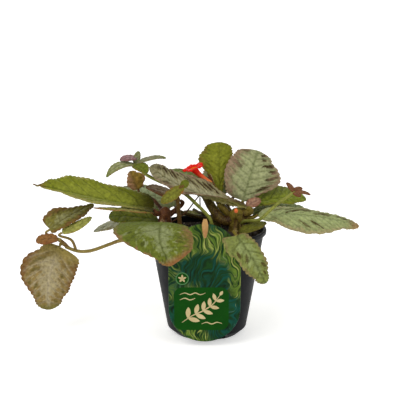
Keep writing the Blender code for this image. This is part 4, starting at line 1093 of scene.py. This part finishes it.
def ribbon(skin, points, width, slot, lift):
    """A printed curved line that thins to its ends."""
    path = smooth_path(points, 8)
    run = unit(np.gradient(path, axis=0))
    side = np.stack([-run[:, 1], run[:, 0]], -1)
    half = width / 2 * (0.35 + 0.65 * np.sin(math.pi * np.linspace(0, 1, len(path))))[:, None]
    grid = np.stack([path + side * half, path - side * half])
    skin.grid(on_label(grid[..., 0], grid[..., 1], lift), slot)


def leaf_shape(x, z, length, width, angle):
    """Outline of a small pointed leaf that starts at a point."""
    t = np.linspace(0, 1, 13)
    half = width / 2 * np.sin(math.pi * t) ** 0.8
    edge = np.stack([t * length, half], -1)
    line = np.concatenate([edge, (edge * (1, -1))[::-1][1:-1]])
    c, s = math.cos(math.radians(angle)), math.sin(math.radians(angle))
    return np.stack([x + line[:, 0] * c - line[:, 1] * s, z + line[:, 0] * s + line[:, 1] * c], -1)


def ring_shape(x, z, radius, angle):
    """Points on a circle at the given angles."""
    return np.stack([x + radius * np.cos(angle), z + radius * np.sin(angle)], -1)


def panel_shape(x, z, half_w, half_h, corner):
    """Outline of a rectangle with round corners."""
    t = np.linspace(0, math.pi / 2, 7)
    return np.concatenate([ring_shape(x + sx * (half_w - corner), z + sz * (half_h - corner), corner,
                                      t + k * math.pi / 2)
                           for k, (sx, sz) in enumerate(((1, 1), (-1, 1), (-1, -1), (1, -1)))])


def strip(skin, path, half_widths, x, thickness, slot=0, steps=6, cup=0.0):
    """A closed band along a route in the YZ plane."""
    route = smooth_path([(0, *p) for p in path], steps)
    widths = np.interp(np.linspace(0, 1, len(route)), np.linspace(0, 1, len(half_widths)), half_widths)
    up = np.cross(unit(np.gradient(route, axis=0)), (1.0, 0, 0))
    s = np.linspace(-1, 1, 9)
    body = route[:, None] + np.array([1.0, 0, 0]) * (s * widths[:, None])[..., None]
    body = body + up[:, None] * (cup * (s ** 2)[None, :] * widths[:, None])[..., None] + (x, 0, 0)
    half = up[:, None] * (thickness / 2)
    loop = np.concatenate([body + half, (body - half)[:, ::-1]], 1)
    first, last = (np.broadcast_to(row.mean(1, keepdims=True), row.shape) for row in (loop[:1], loop[-1:]))
    skin.grid(np.concatenate([first, loop, last]), slot, around=True)


def label_print_material():
    """Blurred, brushy printed foliage in deep green, teal and yellow-green."""
    paint = Paint("label_printed_face")
    warp = paint.texture("TexNoise", 26.0, detail=2.0).outputs["Color"]
    bent = paint.node("VectorMath", {0: warp, 1: (0.075, 0.0, 0.045), 2: paint.place()},
                      operation="MULTIPLY_ADD").outputs["Vector"]
    drawn = paint.node("Mapping", {"Vector": bent, "Rotation": (0.0, math.radians(28), 0.0),
                                   "Scale": (520.0, 520.0, 62.0)}).outputs["Vector"]

    def brushed(seed, low, high, most=1.0):
        """Long brush strokes; the seed gives each layer its own."""
        strokes = paint.node("TexNoise", {"Vector": drawn, "W": seed}, noise_dimensions="4D", scale=1.0,
                             detail=3.0)
        return paint.spread(strokes.outputs["Fac"], low, high, 0.0, most)

    zones = paint.grain(24.0, detail=1.0)
    deep = paint.times(brushed(4.0, 0.45, 0.62, 0.85), paint.spread(zones, 0.42, 0.56))
    lit = paint.times(brushed(9.0, 0.42, 0.62), paint.spread(zones, 0.56, 0.44))
    bright = paint.times(brushed(14.0, 0.5, 0.66), lit)
    colour = paint.layered("08190b", (brushed(1.0, 0.35, 0.65), "163c14"), (deep, "0c463c"),
                           (lit, "5c7428"), (bright, "b0b062"), (brushed(21.0, 0.66, 0.76, 0.6), "7c8c6a"))
    return paint.finish(colour, paint.grain(300.0), (0.36, 0.46), (0.02, 0.4), specular=0.06)


def make_label():
    """The plate, its prints in thin layers and the tongue over the lip."""
    face, plastic, panel, cream, badge = range(5)
    skin = Skin()
    z = LABEL_LOW_Z + (LABEL_TOP_Z - LABEL_LOW_Z) * (1 - np.cos(np.linspace(0, math.pi, 90))) / 2
    x = np.linspace(-1, 1, 41) * np.maximum(label_half(z), 0.4)[:, None]
    front = on_label(x, z[:, None] + 0 * x)
    back = front + (0, LABEL_T, 0)
    skin.grid(front, face, flip=True)
    skin.grid(back, plastic)
    outer = rim_of((front + back) / 2)
    outer = outer + unit((outer - outer.mean(0)) * (1, 0, 1)) * 0.2
    skin.grid(np.stack([rim_of(front), outer, rim_of(back)]), plastic, around=True)
    printed(skin, panel_shape(**PANEL), panel, 0.03)
    ribbon(skin, SPRIG, 1.3, cream, 0.06)
    spine = smooth_path(SPRIG, 6)
    for k, i in enumerate((4, 8, 12, 16, 20)):
        run = spine[i + 1] - spine[i]
        angle = math.degrees(math.atan2(run[1], run[0]))
        for turn in (52, -50):
            printed(skin, leaf_shape(*spine[i], 12.0 - 0.9 * k, 4.8 - 0.3 * k, angle + turn), cream, 0.06)
    printed(skin, leaf_shape(*SPRIG_END, 5.4, 3.0, 60), cream, 0.06)
    for wave in WAVES:
        ribbon(skin, wave, 1.1, cream, 0.06)
    printed(skin, ring_shape(*BADGE, BADGE_R, circle(40)), badge, 0.03)
    printed(skin, ring_shape(*BADGE, BADGE_R - BADGE_RIM, circle(40)), panel, 0.05)
    for k in range(5):
        printed(skin, leaf_shape(*BADGE, 4.2, 2.0, 90 + 72 * k), cream, 0.08)
    widths = (*[TONGUE_HALF_W] * (len(TONGUE_PATH) - 1), TONGUE_HALF_W * 0.45)
    strip(skin, TONGUE_PATH, widths, LABEL_X, LABEL_T, plastic)
    inks = (
        plain_material("label_plastic", "10301c", "183a22", 0.36, 300.0, 0.03, 0.08, specular=0.05),
        plain_material("label_panel_ink", "0c4206", "083a06", 0.36, 260.0, 0.02, 0.08, specular=0.05),
        plain_material("label_cream_ink", "c0b084", "b4a276", 0.34, 600.0, 0.02, 0.08, specular=0.05),
        plain_material("label_ring_ink", "4c7a4a", "44703f", 0.32, 400.0, 0.02, 0.1, specular=0.05),
    )
    piece = skin.make("plant_tag", [label_print_material(), *inks])
    piece.data.set_sharp_from_angle(angle=math.radians(50))
    settle(piece, "plant_label")


make_label()


# Flower, bud and bract
def ring_point(axis, angle):
    """Directions round an axis."""
    side = unit(np.cross(axis, (0.0, 1.0, 0.0)))
    other = np.cross(axis, side)
    return side * np.cos(angle)[..., None] + other * np.sin(angle)[..., None]


def petal_material():
    """Orange tube, red lobes with darker veins and a yellow throat."""
    paint = Paint("petal_skin")
    along, throat, vein, _ = paint.marks("marks")
    fine = paint.grain(900.0)
    colour = paint.layered("de8448", (along, "de1804"), (paint.times(vein, 0.5), "a80a02"),
                           (throat, "d88a18"))
    colour = paint.grained(colour, fine, fine, 0.12)
    return paint.finish(colour, fine, (0.45, 0.65), (0.15, 0.6), specular=0.12, sheen=0.02)


def make_corolla(petal, lead):
    """The bent tube and its fringed lobes, as one sheet with two sides."""
    face = unit(FACE_AXIS)
    start = np.array(CALYX_BASE) + lead * TUBE_SEAT
    mouth = start + lead * TUBE_L * 0.75 + face * TUBE_L * 0.2
    angle = circle(180)
    rows, marks = [], []
    for f in np.linspace(0, 1, 22)[:-1]:
        spine = start * (1 - f) ** 2 + (start + lead * TUBE_L * 0.6) * 2 * f * (1 - f) + mouth * f ** 2
        radius = TUBE_R * (0.75 + 0.25 * f) + (THROAT_R - TUBE_R) * f ** 3
        axis = unit(lead + (face - lead) * f ** 2)
        rows.append(spine + ring_point(axis, angle) * radius * (1 + 0.05 * np.cos(5 * angle))[:, None])
        marks.append((step(-0.1, 0.85, f), 0.0, 0.0))
    tube_rows = len(rows)
    lobe = np.abs(np.cos(LOBES * angle / 2)) ** 0.6
    edge = LIMB_R * (0.62 + 0.38 * lobe)
    fringe = 0.9 * np.abs(np.sin(angle * 45)) + 0.5 * np.sin(angle * 23 + 1)
    for f in np.linspace(0, 1, 18):
        radius = THROAT_R + (edge + fringe * f ** 8 - 0.4 - THROAT_R) * f
        lift = (2.6 * math.sin(f * math.pi * 0.6) - 1.4 * f * f + 0.8 * (lobe - 0.5) * f
                + 0.5 * np.sin(angle * 13) * f ** 3)
        rows.append(mouth + ring_point(face, angle) * radius[:, None] + face * lift[:, None])
        marks.append((1.0, step(0.06, 0.0, f), 0.0))
    grid = np.array(rows)
    shade = np.repeat(np.array(marks)[:, None], len(angle), 1)
    shade[tube_rows:, :, 2] = np.abs(np.cos(angle * 15)) ** 8
    outward = unit(np.cross(np.roll(grid, -1, 1) - np.roll(grid, 1, 1), np.gradient(grid, axis=0)))
    inner, outer = grid - outward * PETAL_T / 2, grid + outward * PETAL_T / 2
    skin = Skin()
    skin.grid(outer, 0, shade, around=True)
    skin.grid(inner, 0, shade, around=True, flip=True)
    skin.grid(np.stack([outer[-1], inner[-1]]), 0, shade[-1:].repeat(2, 0), around=True)
    skin.grid(np.stack([inner[0], outer[0]]), 0, shade[:1].repeat(2, 0), around=True)
    i, j = RNG.integers(0, tube_rows, 260), RNG.integers(0, len(angle), 260)
    sign = -1 if ((outward[4] * (grid[4] - grid[4].mean(0))).sum()) < 0 else 1
    hairs(skin, grid[i, j], outward[i, j] * sign, 0.3, (0.5, 1.0), 0.08, 1)
    settle(skin.make("corolla", [petal, hair_material]), "flower_corolla")


def make_calyx(lead):
    """The cup under the flower and its narrow sepals."""
    skin = Skin()
    around = ring_point(lead, circle(24))
    cup = ((-1.8, 0.15), (-0.9, 1.5), (0.2, 1.95), (1.1, 1.7), (1.9, 0.9))
    rows = np.array([np.array(CALYX_BASE) + lead * height + around * r for height, r in cup])
    skin.grid(rows, around=True, flip=True)
    for out in ring_point(lead, circle(SEPALS) + 0.5 * math.pi / SEPALS):
        base = np.array(CALYX_BASE) + out * 1.2
        tip = base + lead * SEPAL_L * 0.8 + out * SEPAL_L * 0.62
        sepal = Blade("", tuple(base), tuple(tip), (SEPAL_W / 2, SEPAL_W / 2), tuple(-out), arch=-0.05,
                      look="red_brown", fine=0.4)
        blade(skin, sepal, (1, 2, 3), pitch=0.6)
    skin_colour = stalk_material("calyx_skin", "6e3e1c", "7e4e28", "9a7048")
    settle(skin.make("calyx", [skin_colour, *leaf_pair("red_brown"), hair_material]), "flower_calyx")


def make_bud(petal):
    """A small closed bud with creases."""
    skin = Skin()
    theta = np.linspace(0.01, math.pi - 0.01, 22)[:, None]
    phi = circle(40)[None, :]
    crease = 1 - 0.07 * np.abs(np.cos(phi * 2.5)) ** 6 * np.sin(theta)
    bud = np.stack([np.sin(theta) * np.cos(phi) * 0.85 * crease,
                    np.sin(theta) * np.sin(phi) * 0.85 * crease,
                    -np.cos(theta) * 1.1 + 0 * phi], -1) * BUD_R + BUD_AT
    skin.grid(bud, 0, (0.35 * step(0.2, 1.4, theta) + 0 * phi)[..., None], around=True)
    i, j = RNG.integers(2, 20, 90), RNG.integers(0, 40, 90)
    hairs(skin, bud[i, j], 0.0, 1.0, (0.4, 0.8), HAIR_W, 1)
    settle(skin.make("bud", [petal, hair_material]), "flower_bud")


petal = petal_material()
lead = unit(CALYX_AXIS)
make_corolla(petal, lead)
make_calyx(lead)
make_bud(petal)

skin = Skin()
strip(skin, BRACT_PATH, BRACT_HALF_W, BRACT_X, BRACT_T, steps=9, cup=0.18)
dry = plain_material("dry_bract_skin", "b48c50", "8e6436", 0.75, 500.0, 0.5, 0.25)
settle(skin.make("dry_bract", [dry]), "dried_bract")


# Stage, light and camera
def make_stage():
    """A pale floor that bends up into a backdrop."""
    flat_to = FLOOR_BACK - FLOOR_BEND_R
    bend = [(flat_to + FLOOR_BEND_R * math.sin(a), FLOOR_BEND_R - FLOOR_BEND_R * math.cos(a))
            for a in np.linspace(0.15, math.pi / 2, 10)]
    profile = [(FLOOR_FRONT, 0.0), (flat_to, 0.0), *bend, (FLOOR_BACK, BACKDROP_TOP)]
    points = [(x, y, z) for y, z in profile for x in (-FLOOR_HALF_W, FLOOR_HALF_W)]
    faces = [(2 * i, 2 * i + 1, 2 * i + 3, 2 * i + 2) for i in range(len(profile) - 1)]
    mesh = bpy.data.meshes.new("studio_floor")
    mesh.from_pydata(points, [], faces)
    mesh.polygons.foreach_set("use_smooth", [True] * len(faces))
    floor = placed("studio_floor", mesh)
    paint = Paint("pale_floor")
    for socket, value in (("Roughness", 0.8), ("Base Color", (0.93, 0.93, 0.925, 1.0)),
                          ("Emission Color", (1.0, 1.0, 1.0, 1.0)), ("Emission Strength", 0.45)):
        paint.feed(paint.shader.inputs[socket], value)
    mesh.materials.append(paint.material)


def area_light(name, place, power, colour=(1.0, 1.0, 1.0)):
    """A round soft light turned towards the plant."""
    light = bpy.data.lights.new(name, "AREA")
    light.shape = "DISK"
    light.size = LIGHT_SIZE
    light.energy = power
    light.color = colour
    lamp = placed(name, light)
    lamp.location = place
    x, y, z = np.array(LIT_PLACE) - np.array(place)
    lamp.rotation_euler = (math.atan2(math.hypot(x, y), -z), 0.0, math.atan2(-x, y))


make_stage()
area_light("key_light", (-0.55, -0.9, 1.15), 9.0, (1.0, 0.985, 0.96))
area_light("fill_light", (0.95, -0.75, 0.6), 3.0)

world = bpy.data.worlds.new("soft_studio")
world.use_nodes = True
world.node_tree.nodes["Background"].inputs["Color"].default_value = (1.0, 1.0, 1.0, 1.0)
world.node_tree.nodes["Background"].inputs["Strength"].default_value = 0.62
bpy.context.scene.world = world
bpy.context.scene.view_settings.view_transform = "Standard"

camera = bpy.data.cameras.new("photo_camera")
camera.sensor_width = SENSOR_W
camera.lens = FOCAL_PX / IMAGE_PX * SENSOR_W
eye = placed("photo_camera", camera)
eye.location = CAMERA_AT
eye.rotation_euler = (math.radians(90 - CAMERA_DOWN_DEG), 0.0, 0.0)
bpy.context.scene.camera = eye
